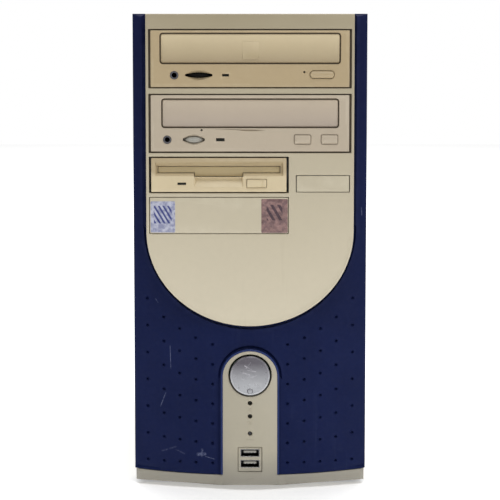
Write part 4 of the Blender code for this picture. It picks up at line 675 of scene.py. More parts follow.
class EffectShelf:
    """Builds each shared effect once and keeps it."""

    def __init__(self) -> None:
        """Starts with an empty shelf."""
        self.kept: dict[Effect, bpy.types.NodeTree] = {}
        self.makers: dict[Effect, Callable[[Sheet, dict, dict], None]] = {
            Effect.MOTTLE: self.mottle,
            Effect.HEIGHT_SHADING: self.painted_height_shading,
            Effect.DUST: self.dust,
            Effect.SCUFFS: self.scuffs,
            Effect.GRAIN: self.grain,
            Effect.RUB: self.rub,
            Effect.WEAR: self.wear,
            Effect.SHEEN_SPREAD: self.sheen_spread,
        }
        self.inlets: dict[Effect, dict[str, str]] = {
            Effect.MOTTLE: {"Colour": COLOUR_SOCKET, "Amount": NUMBER_SOCKET, "Scale": NUMBER_SOCKET},
            Effect.HEIGHT_SHADING: {
                "Colour": COLOUR_SOCKET, "Tint": COLOUR_SOCKET, "Amount": NUMBER_SOCKET,
                "Clean": NUMBER_SOCKET, "Aged": NUMBER_SOCKET,
            },
            Effect.RUB: {
                "Colour": COLOUR_SOCKET, "Mark": COLOUR_SOCKET, "X1": NUMBER_SOCKET, "Z1": NUMBER_SOCKET,
                "X2": NUMBER_SOCKET, "Z2": NUMBER_SOCKET, "Width": NUMBER_SOCKET, "Amount": NUMBER_SOCKET,
            },
            Effect.DUST: {"Colour": COLOUR_SOCKET, "Amount": NUMBER_SOCKET, "Scale": NUMBER_SOCKET},
            Effect.SCUFFS: {"Colour": COLOUR_SOCKET, "Mark": COLOUR_SOCKET, "Amount": NUMBER_SOCKET},
            Effect.GRAIN: {"Scale": NUMBER_SOCKET},
            Effect.WEAR: {"Colour": COLOUR_SOCKET, "Worn": COLOUR_SOCKET, "Amount": NUMBER_SOCKET},
            Effect.SHEEN_SPREAD: {"Low": NUMBER_SOCKET, "High": NUMBER_SOCKET, "Scale": NUMBER_SOCKET},
        }
        self.outlets: dict[Effect, dict[str, str]] = {
            Effect.GRAIN: {"Height": NUMBER_SOCKET},
            Effect.SHEEN_SPREAD: {"Roughness": NUMBER_SOCKET},
        }

    def get(self, effect: Effect) -> bpy.types.NodeTree:
        """The effect's node group, built the first time it is asked for."""
        if effect not in self.kept:
            tree = bpy.data.node_groups.new(effect.value, "ShaderNodeTree")
            for name, kind in self.inlets[effect].items():
                tree.interface.new_socket(name, in_out="INPUT", socket_type=kind)
            for name, kind in self.outlets.get(effect, {"Colour": COLOUR_SOCKET}).items():
                tree.interface.new_socket(name, in_out="OUTPUT", socket_type=kind)
            sheet = Sheet(tree)
            inlet = sheet.node("NodeGroupInput")
            outlet = sheet.node("NodeGroupOutput")
            self.makers[effect](sheet, inlet.outputs, outlet.inputs)
            self.kept[effect] = tree
        return self.kept[effect]

    def mottle(self, sheet: Sheet, given: dict, result: dict) -> None:
        """Broad and fine patches, a little lighter and darker."""
        broad = sheet.noise(given["Scale"], 5.0)
        fine = sheet.noise(sheet.math("MULTIPLY", given["Scale"], 11.0), 3.0)
        both = sheet.math("ADD", sheet.math("MULTIPLY", broad, 0.65), sheet.math("MULTIPLY", fine, 0.35))
        low = sheet.math("SUBTRACT", 1.0, given["Amount"])
        high = sheet.math("ADD", 1.0, given["Amount"])
        scale = sheet.node("ShaderNodeVectorMath", operation="SCALE")
        sheet.link(given["Colour"], scale.inputs[0])
        sheet.link(sheet.spread(both, (0.32, 0.68), (low, high)), scale.inputs["Scale"])
        sheet.link(scale.outputs[0], result["Colour"])

    def painted_height_shading(self, sheet: Sheet, given: dict, result: dict) -> None:
        """Painted shade: a tint that grows from the unshaded height to the shaded height."""
        place = sheet.node("ShaderNodeSeparateXYZ")
        sheet.link(sheet.node("ShaderNodeTexCoord").outputs["Object"], place.inputs[0])
        rise = sheet.math("SUBTRACT", place.outputs["Z"], given["Clean"])
        climb = sheet.math("DIVIDE", rise, sheet.math("SUBTRACT", given["Aged"], given["Clean"]), True)
        patch = sheet.spread(sheet.noise(9.0, 3.0), (0.3, 0.7), (0.8, 1.0))
        share = sheet.math("MULTIPLY", sheet.math("MULTIPLY", climb, patch), given["Amount"], True)
        sheet.link(sheet.mix(share, given["Colour"], given["Tint"]), result["Colour"])

    def dust(self, sheet: Sheet, given: dict, result: dict) -> None:
        """Pale dust on upward faces and in fine specks."""
        normal = sheet.node("ShaderNodeSeparateXYZ")
        sheet.link(sheet.node("ShaderNodeNewGeometry").outputs["Normal"], normal.inputs[0])
        lying = sheet.spread(normal.outputs["Z"], (0.2, 1.0), (0.12, 1.0))
        cloud = sheet.spread(sheet.noise(given["Scale"], 8.0), (0.42, 0.72), (0.0, 1.0))
        share = sheet.math("MULTIPLY", sheet.math("MULTIPLY", lying, cloud), given["Amount"], True)
        sheet.link(sheet.mix(share, given["Colour"], (0.42, 0.40, 0.36, 1.0)), result["Colour"])

    def scuffs(self, sheet: Sheet, given: dict, result: dict) -> None:
        """Fine drawn-out rub marks, in patches."""
        lines = sheet.spread(sheet.noise(220.0, 3.0, (1.0, 1.0, 0.05)), (0.63, 0.70), (0.0, 1.0))
        across = sheet.spread(sheet.noise(190.0, 3.0, (0.06, 1.0, 1.0)), (0.65, 0.72), (0.0, 1.0))
        patch = sheet.spread(sheet.noise(16.0, 2.0), (0.52, 0.66), (0.0, 1.0))
        marks = sheet.math("MULTIPLY", sheet.math("MAXIMUM", lines, across), patch)
        share = sheet.math("MULTIPLY", marks, given["Amount"], True)
        sheet.link(sheet.mix(share, given["Colour"], given["Mark"]), result["Colour"])

    def rub(self, sheet: Sheet, given: dict, result: dict) -> None:
        """One rub mark: a soft line between two places on the front, broken up by noise."""
        place = sheet.node("ShaderNodeSeparateXYZ")
        sheet.link(sheet.node("ShaderNodeTexCoord").outputs["Object"], place.inputs[0])
        x = sheet.math("SUBTRACT", place.outputs["X"], given["X1"])
        z = sheet.math("SUBTRACT", place.outputs["Z"], given["Z1"])
        run = sheet.math("SUBTRACT", given["X2"], given["X1"])
        rise = sheet.math("SUBTRACT", given["Z2"], given["Z1"])
        dot = sheet.math("ADD", sheet.math("MULTIPLY", x, run), sheet.math("MULTIPLY", z, rise))
        square = sheet.math("ADD", sheet.math("MULTIPLY", run, run), sheet.math("MULTIPLY", rise, rise))
        along = sheet.math("DIVIDE", dot, square, True)
        away_x = sheet.math("SUBTRACT", x, sheet.math("MULTIPLY", run, along))
        away_z = sheet.math("SUBTRACT", z, sheet.math("MULTIPLY", rise, along))
        away = sheet.math("SQRT", sheet.math(
            "ADD", sheet.math("MULTIPLY", away_x, away_x), sheet.math("MULTIPLY", away_z, away_z)))
        near = sheet.math("SUBTRACT", 1.0, sheet.math("DIVIDE", away, given["Width"], True), True)
        broken = sheet.spread(sheet.noise(700.0, 4.0), (0.36, 0.60), (0.15, 1.0))
        share = sheet.math("MULTIPLY", sheet.math("MULTIPLY", near, broken), given["Amount"], True)
        sheet.link(sheet.mix(share, given["Colour"], given["Mark"]), result["Colour"])

    def grain(self, sheet: Sheet, given: dict, result: dict) -> None:
        """The fine spark-eroded texture of a moulding tool."""
        fine = sheet.noise(given["Scale"], 2.0)
        broad = sheet.noise(sheet.math("MULTIPLY", given["Scale"], 0.12), 2.0)
        sheet.link(sheet.math("ADD", fine, sheet.math("MULTIPLY", broad, 0.6)), result["Height"])

    def wear(self, sheet: Sheet, given: dict, result: dict) -> None:
        """A rubbed colour along outer edges, broken up by noise."""
        point = sheet.node("ShaderNodeNewGeometry").outputs["Pointiness"]
        edge = sheet.spread(point, (0.51, 0.58), (0.0, 1.0))
        broken = sheet.spread(sheet.noise(120.0, 5.0), (0.35, 0.62), (0.15, 1.0))
        share = sheet.math("MULTIPLY", sheet.math("MULTIPLY", edge, broken), given["Amount"], True)
        sheet.link(sheet.mix(share, given["Colour"], given["Worn"]), result["Colour"])

    def sheen_spread(self, sheet: Sheet, given: dict, result: dict) -> None:
        """Roughness that wanders between two values."""
        cloud = sheet.noise(given["Scale"], 5.0)
        sheet.link(sheet.spread(cloud, (0.35, 0.65), (given["Low"], given["High"])), result["Roughness"])


SHELF = EffectShelf()


# ================================================================ finishes
@dataclass(frozen=True)
class Finish:
    """One finish: its colour, its gloss, how use has changed it and the painted shade that it takes with
    height.

    The tint is painted shade: it grows from the first height of tint_span to the second. Each of rubs is a
    soft line on the front:
    X and Z of both ends, half its width, and its strength.
    """

    name: str
    slot: str
    colour: tuple[float, float, float]
    roughness: Span = (0.42, 0.56)
    metallic: float = 0.0
    mottle: float = 0.05
    mottle_scale: float = 26.0
    tint: tuple[float, float, float] | None = None
    tint_amount: float = 0.0
    tint_span: Span = (0.10, 0.37)
    rubs: tuple[tuple[float, float, float, float, float, float], ...] = ()
    dust: float = 0.15
    dust_scale: float = 160.0
    mark: tuple[float, float, float] | None = None
    mark_amount: float = 0.0
    worn: tuple[float, float, float] | None = None
    worn_amount: float = 0.0
    grain: float = 0.00003
    grain_scale: float = 1700.0
    coat: float = 0.0
    specular: float = 0.5

    def effect(self, sheet: Sheet, effect: Effect, colour: object, **values: object) -> bpy.types.NodeSocket:
        """Places a shared effect in this finish.

        Args:
            sheet: The material's node tree.
            effect: The effect.
            colour: The colour that it starts from, as a socket or a value, or nothing.
            values: Its other inputs by name.

        Returns:
            The effect's first output.
        """
        group = sheet.node("ShaderNodeGroup")
        group.node_tree = SHELF.get(effect)
        if isinstance(colour, bpy.types.NodeSocket):
            sheet.link(colour, group.inputs["Colour"])
        elif colour is not None:
            group.inputs["Colour"].default_value = colour
        for name, value in values.items():
            group.inputs[name].default_value = value
        return group.outputs[0]

    def base(self, sheet: Sheet) -> object:
        """The colour before painted shade and wear, as a socket or a value."""
        return linear(self.colour)

    def material(self) -> bpy.types.Material:
        """The finish's material, built the first time it is asked for.

        Returns:
            The material.
        """
        if self.name in bpy.data.materials:
            return bpy.data.materials[self.name]
        made = bpy.data.materials.new(self.name)
        made.use_nodes = True
        made.diffuse_color = linear(self.colour)
        sheet = Sheet(made.node_tree)
        shader = made.node_tree.nodes["Principled BSDF"]
        colour = self.effect(
            sheet, Effect.MOTTLE, self.base(sheet), Amount=self.mottle, Scale=self.mottle_scale,
        )
        # The tint is painted shade that changes with height.
        if self.tint:
            unshaded_end, shaded_end = self.tint_span
            colour = self.effect(
                sheet, Effect.HEIGHT_SHADING, colour, Tint=linear(self.tint), Amount=self.tint_amount, Clean=unshaded_end,
                Aged=shaded_end,
            )
        if self.worn:
            colour = self.effect(sheet, Effect.WEAR, colour, Worn=linear(self.worn), Amount=self.worn_amount)
        if self.mark:
            colour = self.effect(
                sheet, Effect.SCUFFS, colour, Mark=linear(self.mark), Amount=self.mark_amount,
            )
        for x1, z1, x2, z2, width, amount in self.rubs:
            colour = self.effect(
                sheet, Effect.RUB, colour, Mark=linear(self.mark), X1=x1, Z1=z1, X2=x2, Z2=z2, Width=width,
                Amount=amount,
            )
        if self.dust:
            colour = self.effect(sheet, Effect.DUST, colour, Amount=self.dust, Scale=self.dust_scale)
        sheet.link(colour, shader.inputs["Base Color"])
        low, high = self.roughness
        rough = self.effect(sheet, Effect.SHEEN_SPREAD, None, Low=low, High=high, Scale=self.mottle_scale * 3)
        sheet.link(rough, shader.inputs["Roughness"])
        bump = sheet.node("ShaderNodeBump")
        bump.inputs["Distance"].default_value = self.grain
        sheet.link(self.effect(sheet, Effect.GRAIN, None, Scale=self.grain_scale), bump.inputs["Height"])
        sheet.link(bump.outputs["Normal"], shader.inputs["Normal"])
        shader.inputs["Metallic"].default_value = self.metallic
        shader.inputs["Coat Weight"].default_value = self.coat
        shader.inputs["Specular IOR Level"].default_value = self.specular
        return made


@dataclass(frozen=True)
class LabelFinish(Finish):
    """A small printed foil label with plain bands."""

    ink: tuple[float, float, float] = (60, 90, 150)
    band_scale: float = 120.0
    middle: tuple[float, float] = (0.0, 0.0)
    reach: float = 0.008

    def base(self, sheet: Sheet) -> object:
        """A square patch of slanted ink bands in the label's middle, over a drifting foil colour."""
        place = sheet.node("ShaderNodeSeparateXYZ")
        sheet.link(sheet.node("ShaderNodeTexCoord").outputs["Object"], place.inputs[0])
        across = sheet.math("SUBTRACT", place.outputs["X"], self.middle[0])
        upwards = sheet.math("SUBTRACT", place.outputs["Z"], self.middle[1])
        away = sheet.math("MAXIMUM", sheet.math("ABSOLUTE", across), sheet.math("ABSOLUTE", upwards))
        patch = sheet.spread(away, (self.reach * 0.9, self.reach), (1.0, 0.0))
        slant = sheet.math("ADD", sheet.math("MULTIPLY", across, 1.0), sheet.math("MULTIPLY", upwards, 0.6))
        wave = sheet.math("SINE", sheet.math("MULTIPLY", slant, self.band_scale * math.tau))
        bands = sheet.spread(wave, (-0.1, 0.3), (0.0, 0.95))
        foil = sheet.mix(
            sheet.spread(sheet.noise(340.0, 4.0), (0.4, 0.6), (0.0, 0.5)), linear(self.colour),
            linear(self.ink),
        )
        return sheet.mix(sheet.math("MULTIPLY", patch, bands), foil, linear(self.ink))


# The cream's tint darkens it towards the top: painted shade.
CREAM = Finish(
    "cream", "cream_plastic", (213, 204, 181), (0.42, 0.55), tint=(148, 136, 109), tint_amount=1.0,
    mottle=0.03, mottle_scale=18.0, dust=0.10, mark=(150, 138, 112), mark_amount=0.06,
    worn=(232, 226, 206), worn_amount=0.12,
)
# The column's tint darkens it towards its foot: painted shade.
COLUMN_CREAM = Finish(
    "column_cream", "cream_plastic", (176, 169, 150), (0.42, 0.55), tint=(146, 142, 132), tint_amount=0.9,
    tint_span=(0.030, 0.008), mottle=0.03, mottle_scale=18.0, dust=0.10, mark=(120, 112, 96),
    mark_amount=0.05, worn=(204, 198, 180), worn_amount=0.15,
)
# The blue's tint darkens it towards the top: painted shade.
BLUE = Finish(
    "deep_blue", "blue_plastic", (17, 27, 66), (0.40, 0.55), mottle=0.10, mottle_scale=30.0,
    tint=(13, 19, 54), tint_amount=0.8, specular=0.08, dust=0.04, dust_scale=420.0, mark=(128, 136, 168),
    mark_amount=0.02, worn=(58, 66, 112), worn_amount=0.25, grain=0.00006, grain_scale=1300.0,
    rubs=(
        (-0.0608, 0.1090, -0.0603, 0.0915, 0.00045, 0.50), (-0.0643, 0.0727, -0.0684, 0.0619, 0.00050, 0.45),
        (-0.0395, 0.0262, -0.0345, 0.0266, 0.00170, 0.60), (-0.0368, 0.0250, -0.0364, 0.0300, 0.00110, 0.50),
        (-0.0338, 0.0247, -0.0269, 0.0230, 0.00040, 0.60), (-0.0671, 0.0275, -0.0568, 0.0312, 0.00100, 0.16),
        (-0.0562, 0.0290, -0.0500, 0.0262, 0.00090, 0.14), (-0.0720, 0.1450, -0.0700, 0.1420, 0.00040, 0.40),
        (0.0846, 0.2140, 0.0850, 0.2080, 0.00050, 0.50),
    ),
)
STRAW = Finish(
    "straw", "straw_plastic", (175, 156, 122), (0.36, 0.50), mottle=0.03, dust=0.12, worn=(218, 204, 172),
    worn_amount=0.15, mark=(140, 124, 92), mark_amount=0.06,
)
# The door's tint darkens it towards its foot: painted shade.
DOOR_STRAW = Finish(
    "door_straw", "straw_plastic", (206, 190, 156), (0.34, 0.48), tint=(146, 128, 96), tint_amount=1.0,
    tint_span=(0.3440, 0.3225), mottle=0.03, dust=0.10, worn=(218, 204, 172), worn_amount=0.15,
    mark=(140, 124, 92), mark_amount=0.05,
)
# The floppy face's tint darkens it towards its top: painted shade.
FLOPPY_STRAW = Finish(
    "floppy_straw", "straw_plastic", (206, 190, 156), (0.36, 0.50), tint=(172, 154, 120), tint_amount=1.0,
    tint_span=(0.2385, 0.2425), mottle=0.03, dust=0.12, worn=(224, 210, 178), worn_amount=0.2,
    mark=(140, 124, 92), mark_amount=0.06,
)
STONE = Finish(
    "stone", "stone_plastic", (181, 168, 148), (0.38, 0.52), mottle=0.03, dust=0.12, worn=(222, 212, 192),
    worn_amount=0.15, mark=(148, 136, 114), mark_amount=0.06,
)
# The door's tint darkens it towards its foot: painted shade.
DOOR_STONE = Finish(
    "door_stone", "stone_plastic", (190, 176, 156), (0.36, 0.50), tint=(164, 150, 136), tint_amount=1.0,
    tint_span=(0.2962, 0.2768), mottle=0.03, dust=0.10, worn=(222, 212, 192), worn_amount=0.15,
    mark=(148, 136, 114), mark_amount=0.05,
)
TAN = Finish("flap_tan", "straw_plastic", (186, 168, 128), (0.40, 0.52), mottle=0.05, dust=0.10)
# Dark brown for the ledges in the drives' gaps: painted shade.
PAINTED_GAP_SHADE = Finish("painted_gap_shade", "straw_plastic", (74, 62, 44), (0.50, 0.62), mottle=0.10, dust=0.10)
# The silver's tint darkens the disc towards its top: painted shade.
SILVER = Finish(
    "silver_lacquer", "silver_plastic", (190, 192, 196), (0.24, 0.42), metallic=0.35,
    mottle=0.06, mottle_scale=90.0, tint=(58, 50, 62), tint_amount=1.0, tint_span=(0.0780, 0.0980),
    mark=(226, 222, 230), mark_amount=0.45,
    dust=0.04, worn=(232, 232, 238), worn_amount=0.5, grain=0.00001,
    rubs=(
        (-0.0040, 0.0960, 0.0010, 0.0930, 0.0004, 0.7), (-0.0020, 0.0925, 0.0045, 0.0915, 0.0004, 0.7),
        (-0.0055, 0.0905, 0.0000, 0.0890, 0.0004, 0.6), (0.0005, 0.0985, -0.0030, 0.0940, 0.0003, 0.6),
        (0.0010, 0.0870, 0.0050, 0.0885, 0.0004, 0.5), (-0.0065, 0.0860, -0.0030, 0.0850, 0.0003, 0.5),
    ),
)
BLACK = Finish(
    "black_plastic", "black_plastic", (15, 15, 16), (0.40, 0.55), mottle=0.15, dust=0.06, specular=0.3,
)
GREY = Finish("pale_grey", "grey_plastic", (160, 158, 150), (0.40, 0.55), mottle=0.05, dust=0.12)
MARKING = Finish("marking", "grey_plastic", (92, 88, 96), (0.40, 0.55), mottle=0.08, dust=0.05)
# A lighter copy of the blue for the lip: painted highlight along its rounded edge.
PAINTED_LIT_LIP_BLUE = Finish(
    "lip_blue_painted_highlight", "blue_plastic", (34, 50, 98), (0.36, 0.50), mottle=0.10, mottle_scale=30.0, specular=0.12,
    dust=0.04, worn=(58, 66, 112), worn_amount=0.3,
)


def socket_finish(name: str, colour: tuple[float, float, float]) -> Finish:
    """The finish of a coloured socket at the rear."""
    return Finish(f"{name}_insert", "grey_plastic", colour, (0.40, 0.55), mottle=0.08, dust=0.08)


TEAL = socket_finish("teal", (40, 116, 112))
BURGUNDY = socket_finish("burgundy", (118, 34, 66))
SKY = socket_finish("sky", (58, 96, 168))
VIOLET = socket_finish("violet", (104, 72, 134))
LEAF = socket_finish("leaf", (84, 140, 70))
ROSE = socket_finish("rose", (208, 120, 132))
RED = Finish("signal_red", "red_plastic", (176, 32, 28), (0.30, 0.42), mottle=0.06, dust=0.08)
MATT_BLACK = Finish(
    "matt_black", "black_plastic", (8, 8, 9), (0.55, 0.65), mottle=0.15, dust=0.0, specular=0.1,
    worn_amount=0.0,
)
SMOKED = Finish(
    "smoked_lens", "lamp_plastic", (20, 21, 15), (0.12, 0.22), mottle=0.10, dust=0.03, coat=0.2, specular=0.3,
)
BOARD = Finish(
    "solder_mask", "circuit_board", (26, 92, 48), (0.28, 0.42), mottle=0.22, mottle_scale=420.0, dust=0.18,
    mark=(86, 150, 92), mark_amount=0.5, grain=0.00008, grain_scale=900.0,
)
RIBBON = Finish(
    "ribbon_vinyl", "ribbon_plastic", (168, 170, 174), (0.45, 0.60), mottle=0.06, dust=0.12, grain=0.0001,
    grain_scale=700.0,
)
ZINC = Finish(
    "zinc_plate", "zinc_steel", (186, 188, 190), (0.30, 0.46), metallic=1.0, mottle=0.10, mottle_scale=60.0,
    dust=0.10, mark=(120, 122, 126), mark_amount=0.4, grain=0.00002, grain_scale=600.0,
)
WIRE = Finish(
    "bright_wire", "steel_wire", (196, 198, 202), (0.18, 0.30), metallic=1.0, mottle=0.06, dust=0.06,
)
BRIGHT = Finish(
    "bright_shell", "zinc_steel", (206, 206, 208), (0.16, 0.28), metallic=1.0, mottle=0.06, dust=0.04,
)
PAINT = Finish(
    "beige_enamel", "painted_steel", (190, 180, 156), (0.47, 0.51), mottle=0.012, mottle_scale=14.0,
    dust=0.03, dust_scale=420.0, mark=(150, 140, 118), mark_amount=0.10, worn=(150, 150, 148),
    worn_amount=0.5, grain=0.00007, grain_scale=900.0,
)
CAST = Finish(
    "cast_alloy", "cast_alloy", (150, 152, 154), (0.40, 0.55), metallic=0.9, mottle=0.10, dust=0.10,
    grain=0.00008, grain_scale=1100.0,
)
FINS = Finish(
    "drawn_fins", "fin_alloy", (196, 198, 200), (0.26, 0.40), metallic=1.0, mottle=0.08, dust=0.12,
    grain=0.00003, grain_scale=1500.0,
)
RUBBER = Finish(
    "foot_rubber", "foot_rubber", (28, 28, 28), (0.70, 0.88), mottle=0.12, dust=0.30, grain=0.00008,
)
COOL_LABEL = LabelFinish(
    "cool_label", "silver_plastic", (186, 188, 204), (0.22, 0.34), mottle=0.06, dust=0.05,
    ink=(38, 50, 120), band_scale=290.0, middle=(-0.0653, 0.2105), reach=0.0070,
)
WARM_LABEL = LabelFinish(
    "warm_label", "red_plastic", (142, 112, 108), (0.22, 0.34), mottle=0.22, mottle_scale=130.0, dust=0.05,
    ink=(62, 44, 54), band_scale=190.0, middle=(0.0184, 0.2120), reach=0.0062,
)


def finished(
    piece: bpy.types.Object, finish: Finish, body: str = "case", stands_for: Sequence[str] = ()
) -> bpy.types.Object:
    """Dresses a new piece and fixes it to its body.

    Args:
        piece: The new piece.
        finish: Its finish.
        body: The body that it rides on.
        stands_for: Nodes of the frame that it takes the place of.

    Returns:
        The piece.
    """
    piece.data.materials.clear()
    piece.data.materials.append(finish.material())
    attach(piece, body)
    if stands_for:
        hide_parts(*stands_for)
    LOG.info("piece %s, %s, on %s", piece.name, finish.name, body)
    return piece


def dress_node(nodes: dict[str, bpy.types.Object], name: str, finish: Finish, bevel: float = 0.0) -> None:
    """Gives a node of the frame its finish, and breaks its sharp edges.

    Args:
        nodes: The frame's nodes by name.
        name: The node's name.
        finish: Its finish.
        bevel: Width of its broken edges, or zero to leave them.
    """
    node = nodes[name]
    node.data.materials.clear()
    node.data.materials.append(finish.material())
    if bevel:
        weld = node.modifiers.new("Weld", "WELD")
        weld.merge_threshold = 1e-6
        edge = node.modifiers.new("Broken edges", "BEVEL")
        edge.width = bevel
        edge.segments = 2
        edge.limit_method = "ANGLE"
        edge.angle_limit = math.radians(38)
        edge.harden_normals = False
    LOG.info("node %s, %s", name, finish.name)


# ================================================================ front mouldings
def panel_loop(grow: float, top: float) -> Loop:
    """The flat panel's outline, or one that runs beside it.

    Args:
        grow: How far outside the panel's edge it runs.
        top: Where its straight sides end.

    Returns:
        The loop, from the top right down and round to the top left.
    """
    half, sag = AT.panel_half + grow, AT.panel_sag + grow
    shoulder = AT.height - AT.panel_straight
    curve = [(half * math.cos(t), shoulder - sag * math.sin(t)) for t in np.linspace(0, math.pi, 97)]
    return [(half, top), *curve, (-half, top)]


def column_loop(grow: float, bottom: float) -> Loop:
    """The column's outline, or one that runs beside it.

    Args:
        grow: How far outside the column's edge it runs.
        bottom: Where its straight sides end.

    Returns:
        The loop, from the bottom right up and over to the bottom left.
    """
    half = AT.column_half + grow
    return [(half, bottom), *arc((0.0, AT.column_arc_z), half, 0.0, math.pi, 48), (-half, bottom)]


def skirt_line(x: float) -> float:
    """Height of the joint between the skirt and the blue cover, at x."""
    return AT.skirt_top - AT.skirt_dip * (1 - (x / AT.half_width) ** 2)


@dataclass
class CreamFront:
    """The cream moulding: flat panel, column, skirt and the shell behind them."""

    bay_x: float = 0.0757
    optical_drops: tuple[Span, ...] = ((0.0112, 0.0552), (0.0592, 0.1034))
    floppy_opening: tuple[float, float, float, float] = (-0.0756, 0.0290, 0.1061, 0.1335)
    blank_opening: tuple[float, float, float, float] = (-0.07555, 0.02895, 0.1363, 0.1642)
    plate_opening: tuple[float, float, float, float] = (0.0343, 0.0747, 0.1200, 0.1329)
    panel_depth: float = 0.0240
    rim_width: float = 0.0012
    power: tuple[float, float, float] = (0.0, 0.0884, 0.0163)
    reset_height: float = 0.0440
    usb_z: float = 0.0237
    usb_size: Span = (0.0184, 0.0192)
    fold_x: float = 0.0290
    fold_slope: float = 0.45
    fold_width: float = 0.0060
    skirt_half: float = 0.0878
    facet: float = 0.0030
    shell_wall: float = 0.0025

    def opening(self, spans: tuple[float, float, float, float]) -> Loop:
        """The loop of an opening given by its sides and drops from the top."""
        low, high, top, bottom = spans
        return rounded((low, high), (AT.height - bottom, AT.height - top), 0.0005, 3)

    def panel(self) -> bpy.types.Object:
        """The flat panel with its bays and a raised rim round its lower edge."""
        outline = turned_way(panel_loop(0.0, AT.height), True)
        bays = [(-self.bay_x, self.bay_x, *drops) for drops in self.optical_drops]
        bays += [self.floppy_opening, self.blank_opening, self.plate_opening]
        rim = panel_loop(0.0, AT.height + 0.01)
        inner = [shifted(outline, self.rim_width * share) for share in (1.0, 1.6)]

        def relief(u: np.ndarray, v: np.ndarray) -> np.ndarray:
            """The rim stands proud of the field."""
            away = distance(np.stack((u, v), axis=1), rim, False)
            low = ramp(AT.height - v, 0.150, 0.175)
            return 0.0004 * low * ramp(away, self.rim_width, self.rim_width * 1.5) - 0.0004 * low

        moulding = Moulding(
            "front_panel", outline, AT.panel_y, self.panel_depth, [self.opening(bay) for bay in bays],
            edge=0.0009, hole_edge=0.0004, pitch=0.004, relief=relief,
            creases=[loop[2:-3] for loop in inner], shut=False,
        )
        return moulding.build()

    def column(self) -> bpy.types.Object:
        """The round-topped column and the bowed skirt, with the openings for the controls."""
        holes = [circle(self.power[:2], self.power[2], 64)]
        holes += [circle((0.0, z), 0.0017, 20) for z in (*AT.lamp_heights, self.reset_height)]
        holes.append(rounded(around(0.0, self.usb_size[0]), around(self.usb_z, self.usb_size[1]), 0.0008))
        far, near = self.skirt_half, AT.column_half
        right = [(float(x), skirt_line(x)) for x in np.linspace(far, near + 0.001, 25)]
        left = [(-x, z) for x, z in reversed(right)]
        arch = column_loop(0.0, skirt_line(near) + 0.0008)
        outline = [(-far, AT.foot), (far, AT.foot), *right, *arch, *left]
        skirt_back = AT.cover_y - AT.column_y

        def relief(u: np.ndarray, v: np.ndarray) -> np.ndarray:
            """The crown of the column, and beside it a slanted fold, the bow and a corner facet."""
            out = np.abs(u)
            slant = self.fold_x - (v - AT.foot) * self.fold_slope
            fold = np.clip((slant - out) / self.fold_width, 0.0, 1.0)
            corner = np.clip(out - (self.skirt_half - self.facet), 0.0, None) * 1.1
            beside = skirt_back + AT.bow(u) - 0.0022 * fold + corner
            return np.where(out <= near, AT.crown(np.minimum(out, near)), beside)

        creases = []
        for side in (-1, 1):
            line = [(side * (self.fold_x - up * self.fold_slope), AT.foot + up) for up in (0.0010, 0.0062)]
            edge = [(side * (self.fold_x - self.fold_width), AT.foot + up) for up in (0.0010, 0.0020)]
            facet = [(side * (self.skirt_half - self.facet), AT.foot + up) for up in (0.0010, 0.0080)]
            creases += [line, edge, facet]
        moulding = Moulding(
            "column", outline, AT.column_y, 0.030, holes, edge=0.0008, hole_edge=0.0007, pitch=0.0015,
            relief=relief, creases=creases, shut=False,
        )
        return moulding.build()

    def shell(self) -> list[bpy.types.Object]:
        """The top and side walls behind the panel."""
        half = AT.half_width - 0.0028
        places = np.linspace(-half, half, 49)
        front = [(float(x), float(AT.cover_y + AT.bow(x, 0.0028))) for x in places]
        near = AT.panel_half - 0.0012
        front = [(x, AT.panel_y + 0.0015 if abs(x) < near else y) for x, y in front]
        plan = [*front, (half, AT.front_back), (-half, AT.front_back)]
        top = Moulding(
            "shell_top", plan, AT.height - 0.0001, self.shell_wall, facing=Facing.TOP, edge=0.0002,
        ).build()
        walls = [top]
        for side in (-1, 1):
            x = sorted((side * half, side * (half - self.shell_wall)))
            y = (-0.1690, AT.front_back)
            walls.append(
                block(f"shell_side_{side}", tuple(x), y, (AT.skirt_top, AT.height - self.shell_wall)),
            )
        return walls

    def build(self) -> None:
        """Makes and dresses the cream front."""
        finished(self.panel(), CREAM, stands_for=["front_bezel"])
        finished(self.column(), COLUMN_CREAM, stands_for=["front_bezel"])
        finished(joined("front_shell", self.shell()), CREAM, stands_for=["front_bezel"])


